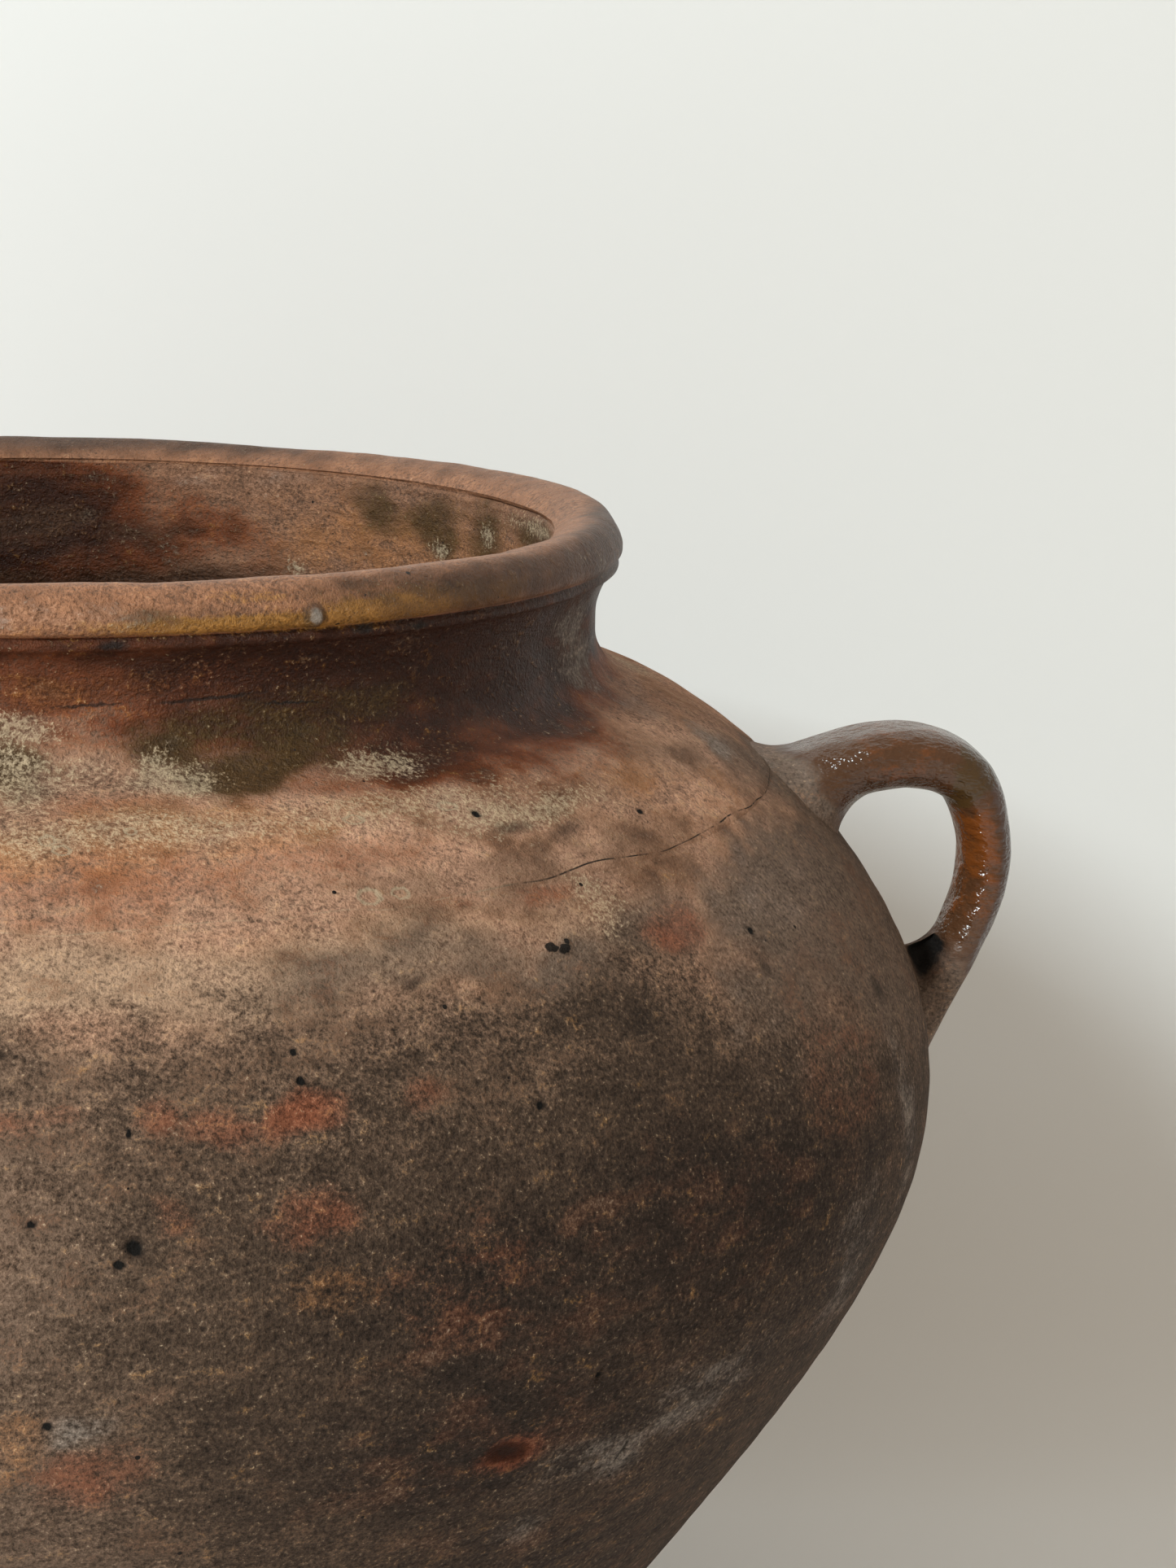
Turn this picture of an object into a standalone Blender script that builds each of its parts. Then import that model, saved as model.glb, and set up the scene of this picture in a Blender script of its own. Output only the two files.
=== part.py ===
"""Twin-handled earthenware urn: a wide jar thrown on the wheel in sections that are luted together
with slip, and two pulled strap handles from the shoulder to the belly.

Metres, +Z up. The origin is the centre of the flat underside, and the handles lie on the X axis.
Each section is one closed body of its own, and a film of slip parts it from the next.
"""

import math

import bmesh
import bpy
from mathutils import Vector

# Slip film between two pieces, and the distance at which points of one piece become one
SLIP = 0.0003
MERGE_DISTANCE = 0.000001

# Facets round the wheel's axis, points round a handle's section, and the angle of a sharp edge
TURN_STEPS = 52
RING_POINTS = 20
SHARP_ANGLE = math.radians(40)
# Points along each thrown section's outside, then along its inside
LOWER_POINTS = (9, 6)
BELLY_POINTS = (11, 8)
SHOULDER_POINTS = (7, 6)
NECK_POINTS = (10, 5)
LIP_POINTS = (7, 5)
BEAD_POINTS = 4
CORNER_POINTS = 5
# How closely a height is found on the wall, and the step that gives the strap's direction
STATION_STEP_SHARE = 0.000001
PATH_STEP_SHARE = 0.0001

# Outside of the wall: base, belly, shoulder
BASE_RADIUS = 0.080
FOOT_ROUND = 0.0016
BELLY_RADIUS = 0.195
BELLY_HEIGHT = 0.186
SHOULDER_RISE = 0.0807
# Each curve of the outline leaves its end by this much height before it turns
BASE_PULL = 0.1117
BELLY_PULL_DOWN = 0.0349
BELLY_PULL_UP = 0.0408
SHOULDER_PULL = 0.0062
# Radius gained for each unit of height
BASE_LEAN = 0.740
SHOULDER_LEAN = 2.506

# Neck, from the shoulder up to the rim's groove
NECK_RADIUS = 0.1204
NECK_FOOT_FLARE = 0.0161
NECK_FOOT_RISE = 0.0163
NECK_FOOT_PULL = 0.004
NECK_PULL = 0.011
NECK_FLARE = 0.0035
NECK_FLARE_RISE = 0.0112
NECK_FLARE_PULL_SHARE = 0.45
NECK_TOP_PULL = 0.0022
BEAD_RADIUS = 0.0013
GROOVE_DEPTH = 0.0006

# Rolled lip: width from the throat outwards, height above the groove
LIP_WIDTH = 0.0150
LIP_HEIGHT = 0.0089
LEDGE_DEPTH = 0.0012
LEDGE_STEP = 0.0009
# Curve points as shares of the lip's width and height, from the groove over the crest to the throat
LIP_OUTER_SHARES = ((0.88, 0.0), (1.10, 0.10), (0.95, 1.0), (0.57, 1.0))
LIP_INNER_SHARES = ((0.57, 1.0), (0.34, 1.0), (0.11, 0.78), (-0.02, 0.56))

# Wall and floor
WALL_AT_BASE = 0.0110
WALL_AT_NECK = 0.0090
FLOOR_THICKNESS = 0.0110
FLOOR_CORNER = 0.020
# How far the floor's corner curve runs along the floor, then along the wall
CORNER_PULL_SHARES = (0.5, 0.33)

# Joints between the thrown sections: above the underside, below the belly's widest line, and
# below and above the neck's foot
BASE_JOINT_RISE = 0.0110
BELLY_JOINT_DROP = 0.0083
SHOULDER_JOINT_DROP = 0.0151
NECK_JOINT_RISE = 0.0023
# How deep each joint's tongue sits in its groove
TONGUE_DEPTH = 0.0030

# Strap handle: centre line from below the neck's foot, out and down to just below the belly
HANDLE_BELOW_NECK = 0.0139
HANDLE_BELOW_BELLY = 0.0017
HANDLE_REACH = 0.0395
# Height as a share of the rise, and distance from the wall at that height as a share of the reach
HANDLE_PATH_SHARES = (
    (0.89, -0.05),
    (0.97, 0.415),
    (1.0, 0.84),
    (0.935, 1.015),
    (0.755, 0.855),
    (0.575, 0.625),
    (0.395, 0.36),
    (0.195, 0.11),
    (0.0, -0.04),
)
HANDLE_WIDTH = 0.0250
HANDLE_THICKNESS = 0.0122
# Width and thickness at each point of the centre line
HANDLE_WIDTH_SHARES = (1.16, 1.04, 1.0, 0.95, 0.89, 0.86, 0.84, 0.80, 0.76)
HANDLE_THICKNESS_SHARES = (1.3, 1.23, 1.22, 1.14, 1.02, 0.98, 0.91, 0.88, 0.86)
# Roundness of the section, and the shallow valley that the pulling fingers leave along its outer face
SECTION_POWER = 0.86
VALLEY_DEPTH = 0.0014
VALLEY_HALF_WIDTH_SHARE = 0.36
STRAP_STEPS = 14
# Where the strap meets its two roots, counted in points of the centre line
STRAP_START = 1.25
STRAP_END = 5.95
TENON_SHARE = 0.55
TENON_LENGTH = 0.0065

# Upper root, spread over the shoulder towards the neck
UPPER_ROOT_BELOW_NECK = 0.0197
UPPER_ROOT_UP = 0.0125
UPPER_ROOT_DOWN = 0.0138
UPPER_ROOT_HALF_WIDTH = 0.0215
UPPER_ROOT_EGG_SHARE = 0.22
# Lower root, pressed to the belly with a narrow web above and a tail below
LOWER_ROOT_ABOVE_BELLY = 0.0060
LOWER_ROOT_UP = 0.0185
LOWER_ROOT_DOWN = 0.0260
LOWER_ROOT_HALF_WIDTH = 0.0110
LOWER_ROOT_EGG_SHARE = 0.42
# Thickness of a root's smeared edge
SMEAR_EDGE = 0.0007
# How far a root's curve hugs the wall, then the strap: on the loop's side, and on the outer side
UPPER_WALL_PULL_SHARES = (0.32, 0.52)
UPPER_STRAP_PULL_SHARES = (0.28, 0.52)
LOWER_WALL_PULL_SHARES = (0.30, 0.54)
LOWER_STRAP_PULL_SHARES = (0.30, 0.42)
FLARE_STEPS = 6
CONTACT_RING_SHARES = (0.12, 0.42, 0.71, 1.0)
TOWARDS_MIDDLE_SHARE = 0.9

# Heights that follow from the sizes above
NECK_FOOT_HEIGHT = BELLY_HEIGHT + SHOULDER_RISE
BELLY_JOINT_HEIGHT = BELLY_HEIGHT - BELLY_JOINT_DROP
SHOULDER_JOINT_HEIGHT = NECK_FOOT_HEIGHT - SHOULDER_JOINT_DROP
NECK_JOINT_HEIGHT = NECK_FOOT_HEIGHT + NECK_JOINT_RISE
NECK_HEIGHT = NECK_FOOT_HEIGHT + NECK_FOOT_RISE
NECK_TOP_HEIGHT = NECK_HEIGHT + NECK_FLARE_RISE
GROOVE_HEIGHT = NECK_TOP_HEIGHT + 2 * BEAD_RADIUS
NECK_FOOT_RADIUS = NECK_RADIUS + NECK_FOOT_FLARE
NECK_TOP_RADIUS = NECK_RADIUS + NECK_FLARE
THROAT_RADIUS = NECK_RADIUS - WALL_AT_NECK


def bezier(ends, share):
    """Point and direction on a cubic curve of four (radius, height) control points."""
    a, b, c, d = (Vector(end) for end in ends)
    back = 1 - share
    point = back**3 * a + 3 * back**2 * share * b + 3 * back * share**2 * c + share**3 * d
    along = back**2 * (b - a) + 2 * back * share * (c - b) + share**2 * (d - c)
    return point, along.normalized()


def wall_curves():
    """The outside of the wall as four curves, each from its lower to its upper end."""
    base = (BASE_RADIUS, 0)
    belly = (BELLY_RADIUS, BELLY_HEIGHT)
    neck_foot = (NECK_FOOT_RADIUS, NECK_FOOT_HEIGHT)
    neck = (NECK_RADIUS, NECK_HEIGHT)
    neck_top = (NECK_TOP_RADIUS, NECK_TOP_HEIGHT)
    below_belly = (BELLY_RADIUS, BELLY_HEIGHT - BELLY_PULL_DOWN)
    above_belly = (BELLY_RADIUS, BELLY_HEIGHT + BELLY_PULL_UP)
    over_base = (BASE_RADIUS + BASE_LEAN * BASE_PULL, BASE_PULL)
    under_foot = (
        NECK_FOOT_RADIUS + SHOULDER_LEAN * SHOULDER_PULL,
        NECK_FOOT_HEIGHT - SHOULDER_PULL,
    )
    over_foot = (
        NECK_FOOT_RADIUS - SHOULDER_LEAN * NECK_FOOT_PULL,
        NECK_FOOT_HEIGHT + NECK_FOOT_PULL,
    )
    under_neck = (NECK_RADIUS, NECK_HEIGHT - NECK_PULL)
    over_neck = (NECK_RADIUS, NECK_HEIGHT + NECK_FLARE_PULL_SHARE * NECK_FLARE_RISE)
    under_top = (NECK_TOP_RADIUS - NECK_TOP_PULL, NECK_TOP_HEIGHT - NECK_TOP_PULL)
    return (
        (base, over_base, below_belly, belly),
        (belly, above_belly, under_foot, neck_foot),
        (neck_foot, over_foot, under_neck, neck),
        (neck, over_neck, under_top, neck_top),
    )


CURVES = wall_curves()


def outside(station):
    """Point and upward direction on the wall's outside: a whole number is the foot of that curve."""
    index = min(int(station), len(CURVES) - 1)
    return bezier(CURVES[index], station - index)


def station_at(height):
    """The station of a height on the wall, by halving, since the outside only ever climbs."""
    low = 0.0
    high = float(len(CURVES))
    while high - low > STATION_STEP_SHARE:
        middle = (low + high) / 2
        if outside(middle)[0].y < height:
            low = middle
        else:
            high = middle
    return (low + high) / 2


def inside(station):
    """The wall's inner face: square to the outside up to the neck, and upright in the throat."""
    point, along = outside(station)
    if station >= len(CURVES) - 1:
        return Vector((THROAT_RADIUS, point.y))
    climbed = min(point.y / NECK_HEIGHT, 1)
    wall = WALL_AT_BASE + (WALL_AT_NECK - WALL_AT_BASE) * climbed
    return point + wall * Vector((-along.y, along.x))


def spread(first, last, count):
    """Evenly spaced values from first to last, both included."""
    return [first + (last - first) * i / (count - 1) for i in range(count)]


def joint_edge(station, lift):
    """Edge of a section at a luted joint: outer point, tongue tip in the wall, inner point."""
    point, along = outside(station)
    outer = point + lift * along
    inner = inside(station) + lift * along
    tip = (outer + inner) / 2 - TONGUE_DEPTH * along
    return outer, tip, inner


def wall_section(low, high, counts):
    """Closed outline of the wall between two joints, given as stations."""
    outer_count, inner_count = counts
    low_outer, low_tip, low_inner = joint_edge(low, SLIP)
    high_outer, high_tip, high_inner = joint_edge(high, 0)
    outer = [outside(s)[0] for s in spread(low, high, outer_count)][1:-1]
    inner = [inside(s) for s in spread(high, low, inner_count)][1:-1]
    return [low_outer, *outer, high_outer, high_tip, high_inner, *inner, low_inner, low_tip]


def finish(name, mesh_data, material):
    """Recalculated, smooth-shaded object of one closed mesh."""
    bmesh.ops.recalc_face_normals(mesh_data, faces=mesh_data.faces)
    mesh = bpy.data.meshes.new(name)
    mesh_data.to_mesh(mesh)
    mesh_data.free()
    mesh.shade_smooth()
    mesh.set_sharp_from_angle(angle=SHARP_ANGLE)
    mesh.materials.append(material)
    obj = bpy.data.objects.new(name, mesh)
    bpy.context.collection.objects.link(obj)
    return obj


def turned(name, outline, material, closed=True):
    """Outline of (radius, height) points spun once round the wheel's axis."""
    spun = bmesh.new()
    verts = [spun.verts.new((point[0], 0, point[1])) for point in outline]
    edges = [spun.edges.new(pair) for pair in zip(verts, verts[1:])]
    if closed:
        edges.append(spun.edges.new((verts[-1], verts[0])))
    bmesh.ops.spin(
        spun,
        geom=verts + edges,
        cent=(0, 0, 0),
        axis=(0, 0, 1),
        steps=TURN_STEPS,
        angle=2 * math.pi,
        use_merge=True,
        use_duplicate=False,
    )
    bmesh.ops.remove_doubles(spun, verts=spun.verts, dist=MERGE_DISTANCE)
    return finish(name, spun, material)


def lofted(name, rings, material, half_turn):
    """Closed skin over rings of equal count, capped at both ends. The left one is turned round."""
    side = -1 if half_turn else 1
    skin = bmesh.new()
    rows = [
        [skin.verts.new((side * p.x, side * p.y, p.z)) for p in ring]
        for ring in rings
    ]
    for row, above in zip(rows, rows[1:]):
        for i in range(len(row)):
            skin.faces.new((row[i - 1], row[i], above[i], above[i - 1]))
    skin.faces.new(rows[0])
    skin.faces.new(rows[-1])
    return finish(name, skin, material)


def through(values, place):
    """Value at a place on the smooth curve through evenly spaced values (Catmull-Rom)."""
    last = len(values) - 1
    index = min(max(int(place), 0), last - 1)
    share = place - index
    before = values[max(index - 1, 0)]
    start = values[index]
    end = values[index + 1]
    after = values[min(index + 2, last)]
    slope_in = (end - before) / 2
    slope_out = (after - start) / 2
    rest = 1 - share
    return (
        (1 + 2 * share) * rest**2 * start
        + share * rest**2 * slope_in
        + share**2 * (3 - 2 * share) * end
        - share**2 * rest * slope_out
    )


def handle_path():
    """Centre line of the strap in the X-Z plane, laid off from the wall's own radius."""
    foot = BELLY_HEIGHT - HANDLE_BELOW_BELLY
    rise = NECK_FOOT_HEIGHT - HANDLE_BELOW_NECK - foot
    points = []
    for height_share, reach_share in HANDLE_PATH_SHARES:
        height = foot + height_share * rise
        wall = outside(station_at(height))[0].x
        points.append(Vector((wall + reach_share * HANDLE_REACH, 0, height)))
    return points


PATH = handle_path()


def path_frame(place):
    """Centre, direction and outward normal of the strap at a place on its centre line."""
    centre = through(PATH, place)
    before = through(PATH, place - PATH_STEP_SHARE)
    after = through(PATH, place + PATH_STEP_SHARE)
    along = (after - before).normalized()
    return centre, along, Vector((-along.z, 0, along.x))


def ring_angles():
    return [2 * math.pi * i / RING_POINTS for i in range(RING_POINTS)]


def rounded(value):
    """A cosine or sine drawn towards a flatter oval, with its sign kept."""
    return math.copysign(abs(value) ** SECTION_POWER, value)


def strap_ring(place, scale=1, slide=0, grow=0):
    """One section of the strap: an oval with two ridges and a valley on its outer face."""
    centre, along, normal = path_frame(place)
    half_width = scale * through(HANDLE_WIDTH_SHARES, place) * HANDLE_WIDTH / 2 + grow
    half_thick = scale * through(HANDLE_THICKNESS_SHARES, place) * HANDLE_THICKNESS / 2 + grow
    valley_width = VALLEY_HALF_WIDTH_SHARE * HANDLE_WIDTH
    ring = []
    for angle in ring_angles():
        across = half_width * rounded(math.cos(angle))
        out = half_thick * rounded(math.sin(angle))
        if out > 0:
            out -= scale * VALLEY_DEPTH * math.exp(-((across / valley_width) ** 2))
        ring.append(centre + slide * along + Vector((0, across, 0)) + out * normal)
    return ring


def strap_rings():
    """The strap from tenon to tenon."""
    rings = [
        strap_ring(STRAP_START, TENON_SHARE, -TENON_LENGTH),
        strap_ring(STRAP_START, TENON_SHARE),
    ]
    rings += [strap_ring(place) for place in spread(STRAP_START, STRAP_END, STRAP_STEPS)]
    rings += [
        strap_ring(STRAP_END, TENON_SHARE),
        strap_ring(STRAP_END, TENON_SHARE, TENON_LENGTH),
    ]
    return rings


def on_wall(across, height, lift):
    """Point over the wall's outside: distance round from the handle's plane, height, and lift."""
    point, along = outside(station_at(height))
    turn = across / point.x
    radius = point.x + lift * along.y
    return Vector((radius * math.cos(turn), radius * math.sin(turn), point.y - lift * along.x))


def foot_ring(root, share, lift):
    """Egg-shaped outline of a root on the wall, shrunk to a share of its size."""
    ring = []
    for angle in ring_angles():
        up = root["side"] * math.sin(angle)
        width = root["half_width"] * (1 - root["egg"] * up)
        reach = root["up"] if up > 0 else root["down"]
        height = root["height"] + share * reach * up
        ring.append(on_wall(share * width * math.cos(angle), height, lift))
    return ring


def pull(shares, angle):
    """Share between the loop's side of a ring and its outer side."""
    loop_side, outer_side = shares
    return loop_side + (outer_side - loop_side) * (1 + math.sin(angle)) / 2


def root_rings(root):
    """A root from its contact with the wall, over its smeared edge and flare, into its mortise."""
    place, away = root["place"], root["away"]
    along = away * path_frame(place)[1]
    rings = [foot_ring(root, share, SLIP) for share in CONTACT_RING_SHARES]
    edge = foot_ring(root, 1, SLIP + SMEAR_EDGE)
    inward = foot_ring(root, TOWARDS_MIDDLE_SHARE, SLIP + SMEAR_EDGE)
    mouth = strap_ring(place, slide=-away * SLIP)
    for step in range(FLARE_STEPS + 1):
        share = step / FLARE_STEPS
        ring = []
        for start, towards, end, angle in zip(edge, inward, mouth, ring_angles()):
            length = (end - start).length
            leave = start + pull(root["wall_pull"], angle) * length * (towards - start).normalized()
            reach = end - pull(root["strap_pull"], angle) * length * along
            ring.append(bezier((start, leave, reach, end), share)[0])
        rings.append(ring)
    rings.append(strap_ring(place, TENON_SHARE, -away * SLIP, SLIP))
    rings.append(strap_ring(place, TENON_SHARE, -away * (TENON_LENGTH + SLIP), SLIP))
    return rings


UPPER_ROOT = {
    "place": STRAP_START,
    "away": 1,
    "side": 1,
    "height": NECK_FOOT_HEIGHT - UPPER_ROOT_BELOW_NECK,
    "up": UPPER_ROOT_UP,
    "down": UPPER_ROOT_DOWN,
    "half_width": UPPER_ROOT_HALF_WIDTH,
    "egg": UPPER_ROOT_EGG_SHARE,
    "wall_pull": UPPER_WALL_PULL_SHARES,
    "strap_pull": UPPER_STRAP_PULL_SHARES,
}
LOWER_ROOT = {
    "place": STRAP_END,
    "away": -1,
    "side": -1,
    "height": BELLY_HEIGHT + LOWER_ROOT_ABOVE_BELLY,
    "up": LOWER_ROOT_UP,
    "down": LOWER_ROOT_DOWN,
    "half_width": LOWER_ROOT_HALF_WIDTH,
    "egg": LOWER_ROOT_EGG_SHARE,
    "wall_pull": LOWER_WALL_PULL_SHARES,
    "strap_pull": LOWER_STRAP_PULL_SHARES,
}


def clay(name, colour, roughness):
    """Fired clay or glaze: a Principled surface, with no metal in it."""
    material = bpy.data.materials.new(name)
    material.use_nodes = True
    shader = material.node_tree.nodes["Principled BSDF"]
    shader.inputs["Base Color"].default_value = (*colour, 1)
    shader.inputs["Roughness"].default_value = roughness
    shader.inputs["Metallic"].default_value = 0
    return material


def base_pad(material):
    """Flat base with its upturned edge, which the lower wall is luted to."""
    joint = station_at(BASE_JOINT_RISE)
    outer, tip, inner = joint_edge(joint, 0)
    along = outside(joint)[1]
    floor_pull, wall_pull = CORNER_PULL_SHARES
    corner_start = Vector((inner.x - FLOOR_CORNER, FLOOR_THICKNESS))
    corner = (
        corner_start,
        corner_start + Vector((floor_pull * FLOOR_CORNER, 0)),
        inner - wall_pull * FLOOR_CORNER * along,
        inner,
    )
    floor = [bezier(corner, share)[0] for share in spread(1, 0, CORNER_POINTS)][1:]
    round_top = outside(station_at(FOOT_ROUND))[0]
    outline = [(0, 0), (BASE_RADIUS - FOOT_ROUND, 0), round_top, outer, tip, inner]
    outline += [*floor, (0, FLOOR_THICKNESS)]
    return turned("base_pad", outline, material, closed=False)


def lower_wall(material):
    """From the base to the joint just below the belly's widest line."""
    low = station_at(BASE_JOINT_RISE)
    high = station_at(BELLY_JOINT_HEIGHT)
    return turned("lower_wall", wall_section(low, high, LOWER_POINTS), material)


def belly_wall(material):
    """From that joint, over the belly, to the seam on the shoulder."""
    low = station_at(BELLY_JOINT_HEIGHT)
    high = station_at(SHOULDER_JOINT_HEIGHT)
    return turned("belly_wall", wall_section(low, high, BELLY_POINTS), material)


def shoulder_wall(material):
    """From the seam to the foot of the neck."""
    low = station_at(SHOULDER_JOINT_HEIGHT)
    high = station_at(NECK_JOINT_HEIGHT)
    return turned("shoulder_wall", wall_section(low, high, SHOULDER_POINTS), material)


def rim_seat(lift):
    """Joint under the lip: groove outside, tongue tip, and the throat's end inside."""
    outer = Vector((NECK_TOP_RADIUS + BEAD_RADIUS - GROOVE_DEPTH, GROOVE_HEIGHT + lift))
    inner = Vector((THROAT_RADIUS, GROOVE_HEIGHT + BEAD_RADIUS + lift))
    tip = (outer + inner) / 2 - Vector((0, TONGUE_DEPTH))
    return outer, tip, inner


def neck_collar(material):
    """Neck from its foot to the small bead that the lip sits on."""
    low = station_at(NECK_JOINT_HEIGHT)
    top = len(CURVES)
    outer_count, inner_count = NECK_POINTS
    low_outer, low_tip, low_inner = joint_edge(low, SLIP)
    outer = [outside(s)[0] for s in spread(low, top, outer_count)][1:-1]
    bead_centre = Vector((NECK_TOP_RADIUS, NECK_TOP_HEIGHT + BEAD_RADIUS))
    bead = [
        bead_centre + BEAD_RADIUS * Vector((math.cos(turn), math.sin(turn)))
        for turn in spread(-math.pi / 2, math.pi / 4, BEAD_POINTS)
    ]
    inner = [inside(s) for s in spread(top - 1, low, inner_count)][:-1]
    outline = [low_outer, *outer, *bead, *rim_seat(0), *inner, low_inner, low_tip]
    return turned("neck_collar", outline, material)


def lip_point(shares):
    across, up = shares
    return THROAT_RADIUS + across * LIP_WIDTH, GROOVE_HEIGHT + SLIP + up * LIP_HEIGHT


def rim_coil(material):
    """Rolled lip with its rounded crest and the small ledge inside."""
    outer_count, inner_count = LIP_POINTS
    outer_curve = [lip_point(shares) for shares in LIP_OUTER_SHARES]
    inner_curve = [lip_point(shares) for shares in LIP_INNER_SHARES]
    outer = [bezier(outer_curve, share)[0] for share in spread(0, 1, outer_count)]
    inner = [bezier(inner_curve, share)[0] for share in spread(0, 1, inner_count)][1:]
    ledge = inner[-1] + Vector((LEDGE_STEP, -LEDGE_DEPTH))
    seat_outer, seat_tip, seat_inner = rim_seat(SLIP)
    outline = [seat_outer, *outer[1:], *inner, ledge, seat_inner, seat_tip]
    return turned("rim_coil", outline, material)


def handle(side, half_turn, glaze, body):
    """One handle: the pulled strap and the two roots that it is keyed into."""
    lofted(f"handle_strap_{side}", strap_rings(), glaze, half_turn)
    lofted(f"handle_upper_root_{side}", root_rings(UPPER_ROOT), body, half_turn)
    lofted(f"handle_lower_root_{side}", root_rings(LOWER_ROOT), body, half_turn)


def main():
    for obj in list(bpy.data.objects):
        bpy.data.objects.remove(obj)
    sooty = clay("sooty_terracotta", (0.13, 0.085, 0.06), 0.88)
    sandy = clay("sandy_terracotta", (0.26, 0.145, 0.095), 0.86)
    neck_red = clay("iron_red_terracotta", (0.17, 0.07, 0.04), 0.72)
    rim_glaze = clay("thin_ochre_glaze", (0.27, 0.12, 0.055), 0.55)
    handle_glaze = clay("amber_lead_glaze", (0.25, 0.085, 0.028), 0.34)
    base_pad(sooty)
    lower_wall(sooty)
    belly_wall(sooty)
    shoulder_wall(sandy)
    neck_collar(neck_red)
    rim_coil(rim_glaze)
    handle("right", False, handle_glaze, sandy)
    handle("left", True, handle_glaze, sandy)


main()
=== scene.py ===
"""Visible surfaces of a twin-handled earthenware urn: thrown wall, rolled rim and pulled handles.

Every surface is a grid of points worked out with numpy, in metres, in the frame of the packed
solids: +Z up the wheel's axis, the handles on the X axis, the urn's front towards -Y.
"""

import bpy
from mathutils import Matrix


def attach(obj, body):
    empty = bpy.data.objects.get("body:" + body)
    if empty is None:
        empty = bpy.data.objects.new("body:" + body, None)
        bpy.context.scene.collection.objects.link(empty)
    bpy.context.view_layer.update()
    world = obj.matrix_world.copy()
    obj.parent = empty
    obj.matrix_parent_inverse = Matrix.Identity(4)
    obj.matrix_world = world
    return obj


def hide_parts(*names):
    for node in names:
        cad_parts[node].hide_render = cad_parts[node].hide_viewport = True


bl_info = {
    "name": "Twin-handled urn",
    "version": (1, 0, 0),
    "blender": (4, 5, 0),
    "location": "View3D > Sidebar > Urn",
    "description": "Builds the thrown wall, rim and pulled handles of an earthenware urn",
    "category": "Object",
}

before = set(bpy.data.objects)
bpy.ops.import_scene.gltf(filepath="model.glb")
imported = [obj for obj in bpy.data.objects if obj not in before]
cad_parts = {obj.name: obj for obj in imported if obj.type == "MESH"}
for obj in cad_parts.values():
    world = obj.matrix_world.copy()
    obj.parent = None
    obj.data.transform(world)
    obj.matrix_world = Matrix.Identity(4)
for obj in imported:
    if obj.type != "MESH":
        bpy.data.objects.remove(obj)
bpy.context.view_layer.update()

import math

import bpy
import numpy as np
from bpy.props import FloatProperty, FloatVectorProperty, PointerProperty
from bpy.types import Operator, Panel, PropertyGroup
from mathutils import Matrix, Vector

MM = 0.001

# Outside of the thrown wall as (radius, height) control points of four cubic curves, in mm:
# base to belly, belly to the neck's foot, the foot's hollow, and the neck's flare under the lip
WALL_CURVES = MM * np.array(
    [
        [(80.0, 0.0), (162.66, 111.7), (195.0, 151.1), (195.0, 186.0)],
        [(195.0, 186.0), (195.0, 226.8), (152.04, 260.5), (136.5, 266.7)],
        [(136.5, 266.7), (126.48, 270.7), (120.4, 272.0), (120.4, 283.0)],
        [(120.4, 283.0), (120.4, 288.04), (121.7, 292.0), (123.9, 294.2)],
    ]
)
WALL_AT_BASE = 11 * MM
WALL_AT_NECK = 9 * MM
FLOOR_THICKNESS = 11 * MM
FLOOR_CORNER = 20 * MM
FOOT_ROUND = 1.6 * MM
BASE_RADIUS_FLAT = 78.4 * MM
POLE_RADIUS = 2 * MM
THROAT_RADIUS = 111.4 * MM
NECK_HEIGHT = 283 * MM
BEAD_RADIUS = 1.3 * MM
BEAD_CENTRE = MM * np.array((123.9, 295.5))
GROOVE = MM * np.array((124.6, 296.8))
THROAT_SEAT = MM * np.array((111.4, 298.1))

# Heights at which the thrown sections are luted together
BASE_JOINT = 11 * MM
BELLY_JOINT = 177.7 * MM
SHOULDER_JOINT = 251.6 * MM
NECK_JOINT = 269 * MM

# Rolled lip: cubic curves over its outer and inner side, in shares of its width and height
LIP_WIDTH = 15 * MM
LIP_HEIGHT = 8.9 * MM
LIP_FOOT = 297.1 * MM
LIP_OUTER_SHARES = np.array(((0.88, 0.0), (1.10, 0.10), (0.95, 1.0), (0.57, 1.0)))
LIP_INNER_SHARES = np.array(((0.57, 1.0), (0.34, 1.0), (0.11, 0.78), (-0.02, 0.56)))
LEDGE = MM * np.array((0.9, -1.2))

# Pulled strap: centre line as (share of its rise, share of its reach from the wall)
HANDLE_FOOT = 184.3 * MM
HANDLE_TOP = 252.8 * MM
HANDLE_REACH = 39.5 * MM
HANDLE_PATH_SHARES = (
    (0.89, -0.05),
    (0.97, 0.415),
    (1.0, 0.84),
    (0.935, 1.015),
    (0.755, 0.855),
    (0.575, 0.625),
    (0.395, 0.36),
    (0.195, 0.11),
    (0.0, -0.04),
)
HANDLE_WIDTH = 25 * MM
HANDLE_THICKNESS = 12.2 * MM
HANDLE_WIDTH_SHARES = (1.16, 1.04, 1.0, 0.95, 0.89, 0.86, 0.84, 0.80, 0.76)
HANDLE_THICKNESS_SHARES = (1.3, 1.23, 1.22, 1.14, 1.02, 0.98, 0.91, 0.88, 0.86)
SECTION_POWER = 0.86
VALLEY_DEPTH = 1.4 * MM
VALLEY_WIDTH = 9 * MM
STRAP_START = 1.25
STRAP_END = 5.95
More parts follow.
